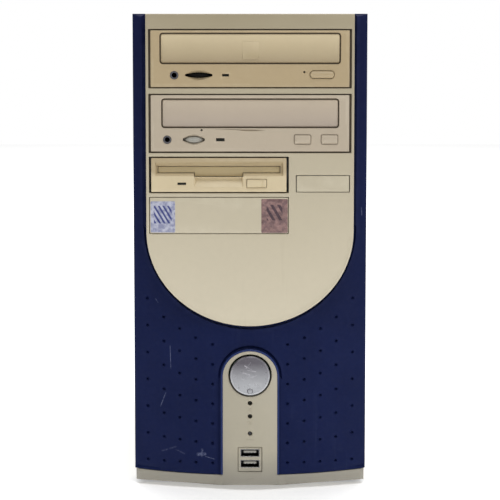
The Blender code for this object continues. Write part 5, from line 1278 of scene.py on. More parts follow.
@dataclass
class BlueCover:
    """The dark-blue bowed cover with its sunk border and its rows of dimples."""

    gap: float = 0.0005
    border: float = 0.0029
    border_sink: float = 0.0026
    lip: float = 0.0012
    lip_groove: float = 0.0020
    lip_sink: float = 0.0016
    dimple_radius: float = 0.0014
    dimple_sink: float = 0.0018
    dimple_foot: float = 0.0200
    dimple_rows: int = 7
    dimple_columns: tuple[float, ...] = (0.0284, 0.0411, 0.0534, 0.0655, 0.0781)
    dimple_pitches: tuple[float, ...] = (0.0152, 0.0160, 0.0171, 0.0185, 0.0208)

    def dimples(self) -> list[Point]:
        """Where the dimples are: rows that fan out from the foot."""
        return [
            (side * x, self.dimple_foot + row * pitch)
            for x, pitch in zip(self.dimple_columns, self.dimple_pitches)
            for row in range(self.dimple_rows)
            for side in (-1, 1)
        ]

    def outline(self) -> Loop:
        """The cover seen from the front, open at the top for the panel and below for the column."""
        half, near = AT.half_width, AT.column_half + self.gap
        left = [(float(-x), skirt_line(x) + 0.0003) for x in np.linspace(half, near, 25)]
        right = [(-x, z) for x, z in reversed(left)]
        column = column_loop(self.gap, right[0][1])[::-1]
        panel = panel_loop(self.gap, AT.height)
        return [(-half, AT.height), *left, *column[1:-1], *right, (half, AT.height), *panel]

    def column_lip(self) -> bpy.types.Object:
        """The thin lip of the cover that laps the column's edge."""
        near = AT.column_half + 0.0006
        path = []
        for u, v in column_loop(0.0003, skirt_line(near) + 0.0006):
            level = AT.column_y + float(AT.crown(min(abs(u), AT.column_half))) + 0.0006
            path.append((u, level, v))
        return bead("cover_lip", path, 0.0009)

    def build(self) -> None:
        """Makes and dresses the cover."""
        # The lip's lighter blue is a painted highlight.
        finished(self.column_lip(), PAINTED_LIT_LIP_BLUE)
        centres = self.dimples()
        spots = []
        for centre in centres:
            inner = circle(centre, self.dimple_radius * 0.55, 6)
            spots += [centre, *inner, *circle(centre, self.dimple_radius, 8)]
        panel = panel_loop(0.0, AT.height + 0.02)
        column = column_loop(0.0, 0.0)
        low = [(float(x), skirt_line(x)) for x in np.linspace(-AT.half_width, AT.half_width, 41)]

        def relief(u: np.ndarray, v: np.ndarray) -> np.ndarray:
            """The bow, the border round the panel, the lips and the dimples."""
            points = np.stack((u, v), axis=1)
            beside = distance(points, panel, False)
            depth = AT.bow(u) + self.border_sink * (1 - ramp(beside, self.border - 0.0007, self.border))
            near = np.minimum(distance(points, column, False), distance(points, low, False))
            far = self.lip + self.lip_groove
            depth += self.lip_sink * ramp(
                near, self.lip, self.lip + 0.0005,
            ) * (1 - ramp(near, far - 0.0012, far))
            for centre in centres:
                away = np.hypot(u - centre[0], v - centre[1]) / self.dimple_radius
                depth += self.dimple_sink * np.clip(1 - away**2, 0.0, None)
            return depth

        creases = [panel_loop(grow, AT.height)[1:-1] for grow in (self.border - 0.0007, self.border)]
        steps = (self.lip, self.lip + 0.0005, self.lip + self.lip_groove - 0.0012, self.lip + self.lip_groove)
        creases += [column_loop(grow, AT.skirt_top + 0.004)[1:-1] for grow in steps]
        moulding = Moulding(
            "blue_cover", self.outline(), AT.cover_y, AT.front_back - AT.cover_y, edge=0.0005, pitch=0.0020,
            relief=relief, creases=creases, dots=spots, shut=False,
        )
        finished(moulding.build(), BLUE, stands_for=["front_cover"])


# ================================================================ controls on the column
@dataclass
class ColumnControls:
    """The power button, the lamps, the reset pin, the small marks and the twin sockets."""

    power: tuple[float, float, float] = (0.0, 0.0884, 0.0150)
    reset_z: float = 0.0440
    usb_z: float = 0.0237
    usb_block: Span = (0.0178, 0.0186)
    usb_face: float = -0.1975
    socket: Span = (0.0136, 0.0050)
    socket_rise: float = 0.0008
    socket_pitch: float = 0.0084
    shell: Span = (0.0146, 0.0059)

    def power_button(self) -> None:
        """The dished silver disc with a round mark near its foot."""
        x, z, radius = self.power
        profile = [
            (0.0, 0.0010), (radius * 0.30, 0.00095), (radius * 0.60, 0.0007), (radius * 0.80, 0.0004),
            (radius * 0.90, 0.0001), (radius * 0.94, 0.0), (radius * 0.965, 0.0001), (radius * 0.985, 0.0004),
            (radius, 0.0010), (radius - 0.0005, 0.0070), (0.0040, 0.0070), (0.0040, 0.0190), (0.0, 0.0190),
        ]
        button = lathe("power_disc", profile, (x, z), AT.front, steps=96)
        finished(button, SILVER, "power_button", ["power_button"])
        spot = z - radius * 0.79
        level = AT.front + 0.0003
        ring = [(u, level, v) for u, v in arc((x, spot), 0.0019, math.radians(125), math.radians(415), 24)]
        bar = [(x, level, spot + 0.0006), (x, level, spot + 0.0024)]
        mark = joined("power_mark", [bead("ring", ring, 0.00026), bead("bar", bar, 0.00026)])
        finished(mark, MARKING, "power_button")

    def marks(self) -> None:
        """Small raised marks beside the lamps and the sockets."""
        level = AT.column_y + 0.00002

        def ring(centre: Point, radius: float) -> bpy.types.Object:
            """A round raised mark."""
            path = [(u, level, v) for u, v in circle(centre, radius, 24)]
            return bead("ring", path, 0.00024, True)

        parts = [ring((0.0, 0.0622), 0.0008), ring((0.0, 0.0520), 0.0015), ring((0.0, 0.0520), 0.0005)]
        for step in range(8):
            turn = step * math.tau / 8
            ends = [
                (0.0013 * math.cos(turn), 0.0013 * math.sin(turn)),
                (0.0019 * math.cos(turn), 0.0019 * math.sin(turn)),
            ]
            parts.append(bead("ray", [(u, level, 0.0622 + v) for u, v in ends], 0.00022))
        parts.append(bead("dash", [(-0.0032, level, 0.0395), (0.0032, level, 0.0395)], 0.00026))
        parts.append(bead("dash", [(-0.0026, level, 0.0092), (0.0026, level, 0.0092)], 0.00026))
        finished(joined("column_marks", parts), COLUMN_CREAM)

    def lamps(self) -> None:
        """The two light pipes, sunk in their holes."""
        for name, z in zip(("power_lamp", "disk_lamp"), AT.lamp_heights):
            profile = [
                (0.0, 0.0), (0.0006, 0.0001), (0.0011, 0.0003), (0.0015, 0.0008), (0.0015, 0.0245),
                (0.0, 0.0245),
            ]
            pipe = lathe(f"{name}_pipe", profile, (0.0, z), AT.column_y + 0.0022, steps=24)
            finished(pipe, SMOKED, "case", [name])

    def reset_pin(self) -> None:
        """The thin pin in its hole."""
        profile = [(0.0, 0.0006), (0.0009, 0.0006), (0.0013, 0.0009), (0.0014, 0.0012), (0.0014, 0.0040),
                   (0.0028, 0.0041), (0.0028, 0.0210), (0.0, 0.0210)]
        pin = lathe("reset_pin", profile, (0.0, self.reset_z), AT.column_y + 0.0012, steps=24)
        finished(pin, BLACK, "reset_button", ["reset_button"])

    def sockets(self) -> None:
        """The twin sockets: black block, bright shells, pale tongues and bright contacts."""
        middle = self.usb_z + self.socket_rise
        heights = (middle - self.socket_pitch / 2, middle + self.socket_pitch / 2)
        frame = rounded(around(0.0, self.usb_block[0]), around(self.usb_z, self.usb_block[1]), 0.0003)
        wide = [rounded(around(0.0, self.shell[0]), around(z, self.shell[1]), 0.0003, 3) for z in heights]
        holes = [rounded(around(0.0, self.socket[0]), around(z, self.socket[1]), 0.0002, 2) for z in heights]
        mask = Moulding("socket_mask", frame, self.usb_face, 0.0010, wide, edge=0.0003, hole_edge=0.0003)
        finished(mask.build(), COLUMN_CREAM)
        face = Moulding(
            "block", frame, self.usb_face + 0.0012, 0.0148, holes, edge=0.0002, hole_edge=0.0001,
        ).build()
        floor = block("socket_floor", around(0.0, 0.0130), (-0.1872, -0.1866), around(self.usb_z, 0.0150))
        finished(joined("socket_housing", [face, floor]), BLACK, "case", ["usb_module"])
        shells, tongues, contacts = [], [], []
        for z, outer, inner in zip(heights, wide, holes):
            outline = shifted(turned_way(outer, True), 0.0001)
            shells.append(Moulding(
                "shell", outline, self.usb_face + 0.0004, 0.0100, [inner], edge=0.0002, hole_edge=0.0004,
            ).build())
            tongues.append(block("tongue", around(0.0, 0.0096), (-0.1966, -0.1870), (z + 0.0001, z + 0.0017)))
            for lane in (-0.0035, -0.0012, 0.0012, 0.0035):
                span = (z - 0.0001, z + 0.0003)
                contacts.append(block("contact", around(lane, 0.0010), (-0.1963, -0.1880), span, 0.0001))
        finished(joined("socket_shells", shells), BRIGHT)
        finished(joined("socket_tongues", tongues), GREY)
        finished(joined("socket_contacts", contacts), WIRE)

    def build(self, nodes: dict[str, bpy.types.Object]) -> None:
        """Makes and dresses everything on the column."""
        self.power_button()
        self.marks()
        self.reset_pin()
        self.sockets()
        self.lamps()
        dress_node(nodes, "switch_board", BOARD)


# ================================================================ drives
@dataclass
class OpticalDrive:
    """One 5.25 inch drive: bezel, tray door, keys, jack, wheel and lamp. Drops are from its face's top."""

    name: str
    drop: float
    finish: Finish
    door_x: Span
    door_drop: float
    door_height: float
    jack_x: float
    wheel_x: float
    wheel_radius: float
    wheel_set: float
    wheel_thick: float
    wheel_finish: Finish
    recess: tuple[float, float]
    lamp_x: Span
    lamp_height: float
    pin: Point
    key_radius: float
    keys: dict[str, tuple[float, float, float, float]]
    face: Span = (0.148, 0.042)
    thick: float = 0.005
    row_drop: float = 0.0332
    scoop: tuple[float, float, float] = (0.0, 0.0, 0.0)
    door_sag: float = 0.0012
    door_finish: Finish | None = None
    taper: float = 0.25  # thickness left at the wheel's rim

    def top(self) -> float:
        """Height of the face's upper edge."""
        return AT.height - self.drop

    def row(self) -> float:
        """Height of the jack, the wheel and the lamp."""
        return self.top() - self.row_drop

    def lens(self, half: float, rise: float, tip: float = 0.0) -> Loop:
        """A pointed loop about the volume wheel.

        Args:
            half: Half of its width.
            rise: Half of its height in the middle.
            tip: Half of its height at each end.

        Returns:
            The closed loop.
        """
        swell = [(s, tip + (rise - tip) * (1 - s * s)) for s in np.linspace(1, -1, 17)]
        upper = [(self.wheel_x + half * s, self.row() + up) for s, up in swell]
        lower = [(self.wheel_x + half * s, self.row() - up) for s, up in reversed(swell)]
        return upper + (lower if tip else lower[1:-1])

    def bezel(self) -> None:
        """The drive's front with all its openings."""
        top, row = self.top(), self.row()
        door_z = (top - self.door_drop - self.door_height, top - self.door_drop)
        grown = ((self.door_x[0] - 0.001, self.door_x[1] + 0.001), (door_z[0] - 0.001, door_z[1] + 0.001))
        reach = math.sqrt(self.wheel_radius**2 - (self.wheel_set - self.thick) ** 2) + 0.0004
        holes = [rounded(*grown, 0.0025)]
        holes.append(
            self.lens(reach, self.wheel_thick / 2 + 0.0004, self.wheel_thick * self.taper / 2 + 0.0003),
        )
        holes.append(rounded(self.lamp_x, around(row, self.lamp_height), 0.0003, 3))
        holes.append(circle((self.jack_x, row), 0.0032, 28))
        holes.append(circle((self.pin[0], top - self.pin[1]), 0.0008, 14))
        for low, high, above, below in self.keys.values():
            spans = ((low - 0.0003, high + 0.0003), (top - below - 0.0003, top - above + 0.0003))
            holes.append(rounded(*spans, self.key_radius + 0.0003))
        lens, scoop = self.lens(self.recess[0] / 2, self.recess[1] / 2), self.scoop

        def relief(u: np.ndarray, v: np.ndarray) -> np.ndarray:
            """The hollow round the wheel and the finger scoop under the door."""
            points = np.stack((u, v), axis=1)
            deep = 0.0016 * inside(points, lens) * ramp(distance(points, lens), 0.0, 0.0009)
            if scoop[2]:
                share = np.clip(1 - ((u - scoop[0]) / scoop[1]) ** 2, 0.0, None)
                deep = deep + 0.0016 * share * (1 - ramp(door_z[0] - 0.001 - v, scoop[2] * 0.4, scoop[2]))
            return deep

        moulding = Moulding(
            f"{self.name}_front", rounded(around(0.0, self.face[0]), (top - self.face[1], top), 0.0006, 3),
            AT.drive_y, self.thick, holes, edge=0.0006, hole_edge=0.00025, pitch=0.0012, relief=relief,
            creases=[[*lens, lens[0]]],
        )
        finished(moulding.build(), self.finish, "case", [f"{self.name}_bezel"])

    def door(self) -> None:
        """The tray's door, barrelled a little."""
        high = self.top() - self.door_drop
        low = high - self.door_height
        middle, half = (low + high) / 2, self.door_height / 2
        moulding = Moulding(
            f"{self.name}_tray_door", rounded(self.door_x, (low, high), 0.0015), AT.drive_y, 0.0030,
            edge=0.0007, pitch=0.0016, relief=lambda u, v: self.door_sag * np.square((v - middle) / half),
        )
        finish = self.door_finish or self.finish
        finished(moulding.build(), finish, f"{self.name}_tray_set", [f"{self.name}_door"])

    def painted_shade_liner(self) -> None:
        """Dark brown ledges in the gaps round the door and round the face: painted shade in the gaps."""
        top = self.top()
        door_z = (top - self.door_drop - self.door_height, top - self.door_drop)
        outer = rounded(
            (self.door_x[0] - 0.0009, self.door_x[1] + 0.0009), (door_z[0] - 0.0009, door_z[1] + 0.0009),
            0.0024,
        )
        inner = rounded(
            (self.door_x[0] - 0.0002, self.door_x[1] + 0.0002), (door_z[0] - 0.0002, door_z[1] + 0.0002),
            0.0017,
        )
        ledge = Moulding(
            "ledge", outer, AT.drive_y + 0.0016, 0.0020, [inner], edge=0.0, hole_edge=0.0,
        ).build()
        wide = rounded(around(0.0, self.face[0] + 0.0032), (top - self.face[1] - 0.0009, top + 0.0009), 0.0)
        near = rounded(around(0.0, self.face[0] + 0.0004), (top - self.face[1] - 0.0001, top + 0.0001), 0.0)
        frame = Moulding("frame", wide, AT.panel_y + 0.0022, 0.0020, [near], edge=0.0, hole_edge=0.0).build()
        # The ledges are painted shade in the gaps.
        finished(joined(f"{self.name}_liner", [ledge, frame]), PAINTED_GAP_SHADE)

    def key_crown(self, foot: float, head: float) -> Relief:
        """A key's face, which falls away towards its foot and its head.

        Args:
            foot: Height of its lower edge.
            head: Height of its upper edge.

        Returns:
            How far each point of the face is sunk.
        """
        return lambda u, v: 0.0011 * np.square((2 * v - foot - head) / (head - foot))

    def keys_and_jack(self) -> None:
        """The keys, the jack's sleeve, the wheel and the lamp's lens."""
        top, row = self.top(), self.row()
        for name, (low, high, above, below) in self.keys.items():
            key = Moulding(
                f"{name}_cap", rounded((low, high), (top - below, top - above), self.key_radius),
                AT.drive_y - 0.0017, 0.0085, edge=0.0011, pitch=0.001,
                relief=self.key_crown(top - below, top - above),
            )
            finished(key.build(), self.finish, name, [name])
        ring = [
            (0.0019, 0.0085), (0.0019, 0.0004), (0.0021, 0.0), (0.0029, 0.0), (0.0031, 0.0003),
            (0.0031, 0.0085),
        ]
        sleeve = lathe(f"{self.name}_jack", ring, (self.jack_x, row), AT.drive_y + 0.0004)
        finished(sleeve, BLACK)
        radius, half = self.wheel_radius, self.wheel_thick / 2
        lean = 1 - self.taper
        curve = [(radius * (0.68 + 0.32 * s), half * (1 - lean * s * s)) for s in np.linspace(0, 1, 7)]
        upper = [(reach, half - up) for reach, up in curve]
        lower = [(reach, half + up) for reach, up in reversed(curve)]
        rim = [(0.0018, 0.0), *upper, *lower, (0.0018, 2 * half), (0.0018, 0.0)]
        wheel = lathe(
            f"{self.name}_thumb_wheel", rim, (self.wheel_x, AT.drive_y + self.wheel_set), row + half,
            Facing.TOP, steps=240, ribs=40, rib_depth=0.0003,
        )
        finished(wheel, self.wheel_finish, f"{self.name}_wheel", [f"{self.name}_wheel"])
        lens = Moulding(
            f"{self.name}_lens", rounded((self.lamp_x[0] + 0.0002, self.lamp_x[1] - 0.0002),
                                         around(row, self.lamp_height - 0.0004), 0.0002, 3),
            AT.drive_y + 0.0006, 0.0040, edge=0.0003,
        )
        finished(lens.build(), SMOKED)

    def build(self, nodes: dict[str, bpy.types.Object]) -> None:
        """Makes and dresses the drive."""
        self.bezel()
        self.door()
        self.painted_shade_liner()
        self.keys_and_jack()
        dress_node(nodes, f"{self.name}_body", ZINC, 0.0003)
        dress_node(nodes, f"{self.name}_tray", GREY, 0.0003)
        dress_node(nodes, f"{self.name}_gear", GREY)


@dataclass
class WriterDrive(OpticalDrive):
    """The straw-coloured disc writer, with a small square plate on its door."""

    plate: tuple[float, float, float, float] = (-0.0055, 0.0065, 0.3265, 0.3395)

    def build(self, nodes: dict[str, bpy.types.Object]) -> None:
        """Makes the drive and the plate on its door."""
        super().build(nodes)
        low, high, foot, head = self.plate
        plate = Moulding(
            "writer_door_plate", rounded((low, high), (foot, head), 0.0006, 3), AT.drive_y - 0.0001, 0.0012,
            edge=0.0003,
        )
        finished(plate.build(), DOOR_STRAW, "writer_tray_set")


@dataclass
class FloppyDrive:
    """The 3.5 inch drive: sloped recess, flap, key and lamp. Drops are from its face's top."""

    drop: float = 0.1071
    face: Span = (0.1012, 0.0254)
    thick: float = 0.005
    slot_x: Span = (-0.0688, 0.0223)
    slot_drop: Span = (0.0066, 0.0112)
    notch_x: Span = (-0.0414, -0.0054)
    notch_drop: float = 0.0138
    recess_x: Span = (-0.0708, 0.0248)
    recess_top: float = 0.0032
    recess_low: float = 0.0134
    recess_depth: float = 0.0030
    scoop_low: float = 0.0220
    key: tuple[float, float, float, float] = (-0.0023, 0.0123, 0.0160, 0.0220)
    lamp: tuple[float, float, float, float] = (-0.0543, -0.0478, 0.0183, 0.0202)
    flap_set: float = 0.0042

    def slot(self, grow: float) -> Loop:
        """The slot's stepped outline."""
        top = AT.height - self.drop
        head, foot = top - self.slot_drop[0] + grow, top - self.slot_drop[1] - grow
        deep = top - self.notch_drop - grow
        left, right = self.slot_x[0] - grow, self.slot_x[1] + grow
        notch_left, notch_right = self.notch_x[0] - grow, self.notch_x[1] + grow
        return [(left, head), (left, foot), (notch_left, foot), (notch_left, deep), (notch_right, deep),
                (notch_right, foot), (right, foot), (right, head)]

    def relief(self, u: np.ndarray, v: np.ndarray) -> np.ndarray:
        """The sloped recess round the slot and the finger scoop below it."""
        down = AT.height - self.drop - v
        deep = self.recess_depth
        upper = np.clip((down - self.recess_top) / (self.slot_drop[0] - 0.0006 - self.recess_top), 0.0, 1.0)
        lower = np.clip((self.recess_low - down) / 0.0018, 0.0, 1.0)
        ends = np.clip(np.minimum(u - self.recess_x[0], self.recess_x[1] - u) / 0.0010, 0.0, 1.0)
        trough = deep * np.minimum(np.minimum(upper, lower), ends)
        sides = np.clip(
            np.minimum(u - self.notch_x[0] + 0.0002, self.notch_x[1] + 0.0002 - u) / 0.0008, 0.0, 1.0,
        )
        rise = np.clip((self.scoop_low - down) / 0.0060, 0.0, 1.0)
        scoop = deep * np.minimum(np.minimum(upper * 1.25, rise), sides)
        return np.maximum(trough, scoop)

    def bezel(self) -> None:
        """The drive's front."""
        top = AT.height - self.drop
        low, high, above, below = self.key
        key_hole = rounded(
            (low - 0.0003, high + 0.0003), (top - below - 0.0003, top - above + 0.0003), 0.0005, 3,
        )
        lamp_hole = rounded(self.lamp[:2], (top - self.lamp[3], top - self.lamp[2]), 0.0)
        left, right = self.recess_x
        head, foot = top - self.recess_top, top - self.recess_low
        inner_head, inner_foot = top - self.slot_drop[0] + 0.0008, foot + 0.0017
        creases = [
            [(left, head), (right, head), (right, foot), (left, foot), (left, head)],
            [(left + 0.001, inner_head), (right - 0.001, inner_head)],
            [(left + 0.001, inner_head), (left + 0.001, inner_foot), (self.notch_x[0] - 0.001, inner_foot)],
            [(right - 0.001, inner_head), (right - 0.001, inner_foot), (self.notch_x[1] + 0.001, inner_foot)],
            [(self.notch_x[0] - 0.0002, foot - 0.0002), (self.notch_x[0] - 0.0002, top - self.scoop_low),
             (self.notch_x[1] + 0.0002, top - self.scoop_low), (self.notch_x[1] + 0.0002, foot - 0.0002)],
            [(self.notch_x[0] + 0.0007, top - 0.0160), (self.notch_x[1] - 0.0007, top - 0.0160)],
        ]
        moulding = Moulding(
            "floppy_front",
            rounded(around(AT.small_drive_x, self.face[0]), (top - self.face[1], top), 0.0006, 3),
            AT.drive_y, self.thick, [self.slot(0.0004), key_hole, lamp_hole], edge=0.0006, hole_edge=0.0002,
            pitch=0.0011, relief=self.relief, creases=creases,
        )
        finished(moulding.build(), FLOPPY_STRAW, "case", ["floppy_bezel"])

    def build(self, nodes: dict[str, bpy.types.Object]) -> None:
        """Makes and dresses the drive."""
        self.bezel()
        top = AT.height - self.drop
        flap = Moulding("floppy_shutter", self.slot(0.0), AT.drive_y + self.flap_set, 0.0009, edge=0.0003)
        finished(flap.build(), TAN, "floppy_flap", ["floppy_flap"])
        low, high, above, below = self.key
        key = Moulding(
            "floppy_key", rounded((low, high), (top - below, top - above), 0.0004, 3),
            AT.drive_y - 0.0015, 0.0083, edge=0.0008, pitch=0.001,
            relief=lambda u, v: 0.0006 * ramp(u, high - 0.0036, high - 0.0030),
            creases=[[(high - shift, top - below + 0.0009), (high - shift, top - above - 0.0009)]
                     for shift in (0.0036, 0.0030)],
        )
        finished(key.build(), FLOPPY_STRAW, "floppy_eject_button", ["floppy_eject_button"])
        lens = Moulding(
            "floppy_lens",
            rounded(self.lamp[:2], (top - self.lamp[3] + 0.0001, top - self.lamp[2] - 0.0001), 0.0003, 3),
            AT.drive_y + 0.0008, 0.0030, edge=0.0003,
        )
        finished(lens.build(), SMOKED)
        dress_node(nodes, "floppy_body", ZINC, 0.0003)


@dataclass
class LowerBay:
    """The blank cover with its two labels, and the small plate beside the floppy drive."""

    drop: float = 0.1368
    face: Span = (0.1035, 0.0269)
    plate: tuple[float, float, float, float] = (0.0349, 0.0741, 0.2276, 0.2395)
    cool: tuple[float, float, float, float] = (-0.0745, -0.0561, 0.1970, 0.2205)
    warm: tuple[float, float, float, float] = (0.0085, 0.0282, 0.1967, 0.2222)

    def build(self) -> None:
        """Makes and dresses the lower bay."""
        top = AT.height - self.drop
        blank = Moulding(
            "lower_bay_cover",
            rounded(around(AT.small_drive_x, self.face[0]), (top - self.face[1], top), 0.0006, 3),
            AT.panel_y, 0.0060, edge=0.0005, pitch=0.006,
        )
        finished(blank.build(), CREAM, "case", ["bay_blank"])
        low, high, foot, head = self.plate
        plate = Moulding(
            "side_plate", rounded((low, high), (foot, head), 0.0005, 3), AT.panel_y + 0.0001, 0.0011,
            edge=0.0003, pitch=0.004,
        )
        finished(plate.build(), CREAM, "case", ["name_plate"])
        for name, (low, high, foot, head), finish in (
            ("cool_sticker", self.cool, COOL_LABEL), ("warm_sticker", self.warm, WARM_LABEL),
        ):
            label = Moulding(
                name, rounded((low, high), (foot, head), 0.0008, 3), AT.panel_y - 0.00012, 0.00011,
                edge=0.00004, pitch=0.002,
            )
            finished(label.build(), finish)


# ================================================================ case and insides
@dataclass
class SteelCase:
    """The folded steel case, its side panels, screws and feet."""

    plates: tuple[str, ...] = ("chassis_base", "chassis_front", "chassis_rear", "drive_cage")
    feet: tuple[str, ...] = ("front_left_foot", "front_right_foot", "rear_left_foot", "rear_right_foot")

    def build(self, nodes: dict[str, bpy.types.Object]) -> None:
        """Dresses the case's nodes."""
        for name in self.plates:
            dress_node(nodes, name, ZINC, 0.0002)
        dress_node(nodes, "chassis_top", PAINT, 0.0002)
        dress_node(nodes, "board_tray", ZINC, 0.0002)
        dress_node(nodes, "left_panel", PAINT, 0.0004)
        dress_node(nodes, "right_panel", PAINT, 0.0004)
        for name in ("upper_thumbscrew", "lower_thumbscrew"):
            dress_node(nodes, name, WIRE, 0.0002)
        for name in self.feet:
            dress_node(nodes, name, RUBBER, 0.0005)


@dataclass
class RearSockets:
    """The faces of the sockets at the rear, the card's bracket and the blanks of the unused slots."""

    face: float = 0.1952
    wall: float = 0.0716
    top: float = 0.2463
    card_z: float = 0.0814
    slot_x: Span = (-0.0270, 0.0622)
    slot_pitch: float = 0.02032
    blanks: int = 3
    blank_width: float = 0.0114

    def plug_face(
        self, name: str, x: float, z: float, size: Span, rows: tuple[int, ...], finish: Finish, level: float,
        upright: bool = True,
    ) -> None:
        """A coloured insert with pin holes inside a bright shell, with a hexagon post at each end.

        Args:
            name: The socket's name.
            x: Its middle along X.
            z: Its middle along Z.
            size: Its length and width.
            rows: Number of pin holes in each row.
            finish: Finish of the insert.
            level: Where its face lies.
            upright: Whether its length runs upwards.
        """
        long, wide = size
        holes = []
        for index, count in enumerate(rows):
            across = (index - (len(rows) - 1) / 2) * 0.0024
            for step in range(count):
                along = (step - (count - 1) / 2) * min(0.0027, (long - 0.004) / count)
                holes.append((across, along) if upright else (along, across))
        width, height = (wide, long) if upright else (long, wide)
        outline = rounded(around(-x, width - 0.0012), around(z, height - 0.0012), 0.0016)
        pins = [circle((-x + a, z + b), 0.0005, 8) for a, b in holes]
        insert = Moulding("insert", outline, level + 0.0009, 0.0010, pins, Facing.REAR, edge=0.0003)
        back = block(
            "insert_back", around(x, width - 0.002), (level - 0.0007, level - 0.0002),
            around(z, height - 0.002),
        )
        finished(joined(f"{name}_insert", [insert.build(), back]), finish)
        outer = rounded(around(-x, width), around(z, height), 0.0022)
        ring = Moulding(f"{name}_shell", outer, level + 0.0014, 0.0018, [outline], Facing.REAR, edge=0.0003)
        finished(ring.build(), BRIGHT)
        for side in (-1, 1):
            reach = side * (long / 2 + 0.0030)
            at = (-x, z + reach) if upright else (-x + reach, z)
            post = lathe(f"{name}_post_{side + 2}", [
                (0.0, 0.0012), (0.0010, 0.0012), (0.0012, 0.0), (0.0021, 0.0), (0.0023, 0.0003),
                (0.0023, 0.0024), (0.0, 0.0024),
            ], at, level + 0.0018, Facing.REAR, 6)
            finished(post, BRIGHT)

    def round_face(self, name: str, x: float, z: float, radius: float, finish: Finish) -> None:
        """A round socket: a coloured collar round a dark bore.

        Args:
            name: The socket's name.
            x: Its middle along X.
            z: Its middle along Z.
            radius: Radius of its collar.
            finish: Finish of the collar.
        """
        bore = radius * 0.55
        collar = [
            (bore, 0.0020), (bore, 0.0004), (bore + 0.0003, 0.0), (radius - 0.0004, 0.0), (radius, 0.0005),
            (radius, 0.0024),
        ]
        finished(lathe(f"{name}_collar", collar, (-x, z), self.face + 0.0016, Facing.REAR, 32), finish)
        plug = [(0.0, 0.0014), (bore, 0.0014), (bore, 0.0024), (0.0, 0.0024)]
        finished(lathe(f"{name}_bore", plug, (-x, z), self.face + 0.0016, Facing.REAR, 24), BLACK)

    def pair(self) -> None:
        """The two upright slots of the twin socket."""
        for index, x in enumerate((0.0605, 0.0678)):
            outer = rounded(around(-x, 0.0060), around(self.top - 0.0245, 0.0124), 0.0006)
            inner = rounded(around(-x, 0.0048), around(self.top - 0.0245, 0.0112), 0.0003)
            ring = Moulding(
                f"rear_slot_{index}", outer, self.face + 0.0008, 0.0012, [inner], Facing.REAR, edge=0.0002,
            )
            finished(ring.build(), BRIGHT)
            inside = block(
                f"rear_slot_{index}_bore", around(x, 0.0050), (self.face - 0.0002, self.face + 0.0002),
                around(self.top - 0.0245, 0.0114),
            )
            finished(inside, BLACK)
            tongue = block(
                f"rear_slot_{index}_tongue", around(x - 0.0010, 0.0016),
                (self.face - 0.0002, self.face + 0.0006), around(self.top - 0.0245, 0.0090),
            )
            finished(tongue, GREY)

    def brackets(self) -> None:
        """The card's bracket and the blanks of the slots below it."""
        span = (-self.slot_x[1], -self.slot_x[0])
        window = rounded((-0.0407, -0.0089), around(self.card_z + 0.0006, 0.0098), 0.0004)
        plate = rounded(span, around(self.card_z, self.blank_width), 0.0010)
        sleeve = block(
            "screen_sleeve", (0.0091, 0.0405), (0.1921, 0.1974), around(self.card_z + 0.0006, 0.0094),
        )
        finished(sleeve, GREY)
        bracket = Moulding("card_bracket", plate, 0.1920, 0.0008, [window], Facing.REAR, edge=0.0002)
        finished(bracket.build(), ZINC)
        for index in range(self.blanks):
            z = self.card_z - (index + 1) * self.slot_pitch
            outline = rounded(span, around(z, self.blank_width), 0.0010)
            left, right = span[0] + 0.003, span[1] - 0.003
            grooves = [[(left, z + rise), (right, z + rise)] for rise in (-0.0040, 0.0040)]

            def relief(u: np.ndarray, v: np.ndarray, middle: float = z) -> np.ndarray:
                """A shallow stiffening step along the blank."""
                return 0.0003 * (1 - ramp(np.abs(np.abs(v - middle) - 0.0040), 0.0003, 0.0009))

            blank = Moulding(
                f"slot_blank_{index + 1}", outline, 0.1926, 0.0008, (), Facing.REAR, edge=0.0002, pitch=0.004,
                relief=relief, creases=grooves,
            )
            finished(blank.build(), ZINC)

    def screws(self) -> None:
        """The screw heads of the supply and of the slots."""
        places = [(-0.0700, 0.2755), (0.0700, 0.2755), (-0.0700, 0.3520), (0.0700, 0.3480)]
        places += [(0.0668, self.card_z - step * self.slot_pitch) for step in range(self.blanks + 1)]
        for index, (x, z) in enumerate(places):
            head = [
                (0.0, 0.0009), (0.0008, 0.0009), (0.0010, 0.0001), (0.0024, 0.0), (0.0030, 0.0005),
                (0.0031, 0.0016), (0.0, 0.0016),
            ]
            finished(lathe(f"rear_screw_{index + 1}", head, (-x, z), 0.1937, Facing.REAR, 24), WIRE)

    def build(self) -> None:
        """Makes and dresses everything on the rear."""
        top = self.top
        self.round_face("lower_keys_socket", self.wall - 0.0075, top - 0.0070, 0.0060, VIOLET)
        self.round_face("upper_keys_socket", self.wall - 0.0225, top - 0.0070, 0.0060, LEAF)
        self.pair()
        self.plug_face("serial", self.wall - 0.0055, top - 0.0520, (0.0210, 0.0086), (5, 4), TEAL, self.face)
        self.plug_face(
            "parallel", self.wall - 0.0230, top - 0.0490, (0.0430, 0.0090), (13, 12), BURGUNDY, self.face,
        )
        self.plug_face(
            "joystick", self.wall - 0.0055, top - 0.0910, (0.0210, 0.0086), (8, 7), STRAW, self.face,
        )
        for name, low, finish in (("speaker", 0.1145, LEAF), ("line", 0.1285, SKY), ("voice", 0.1425, ROSE)):
            self.round_face(name, self.wall - 0.0060, top - low, 0.0046, finish)
        self.plug_face(
            "screen", 0.0248, self.card_z + 0.0006, (0.0200, 0.0084), (5, 5, 5), SKY, 0.1972, upright=False,
        )
        self.brackets()
        self.screws()


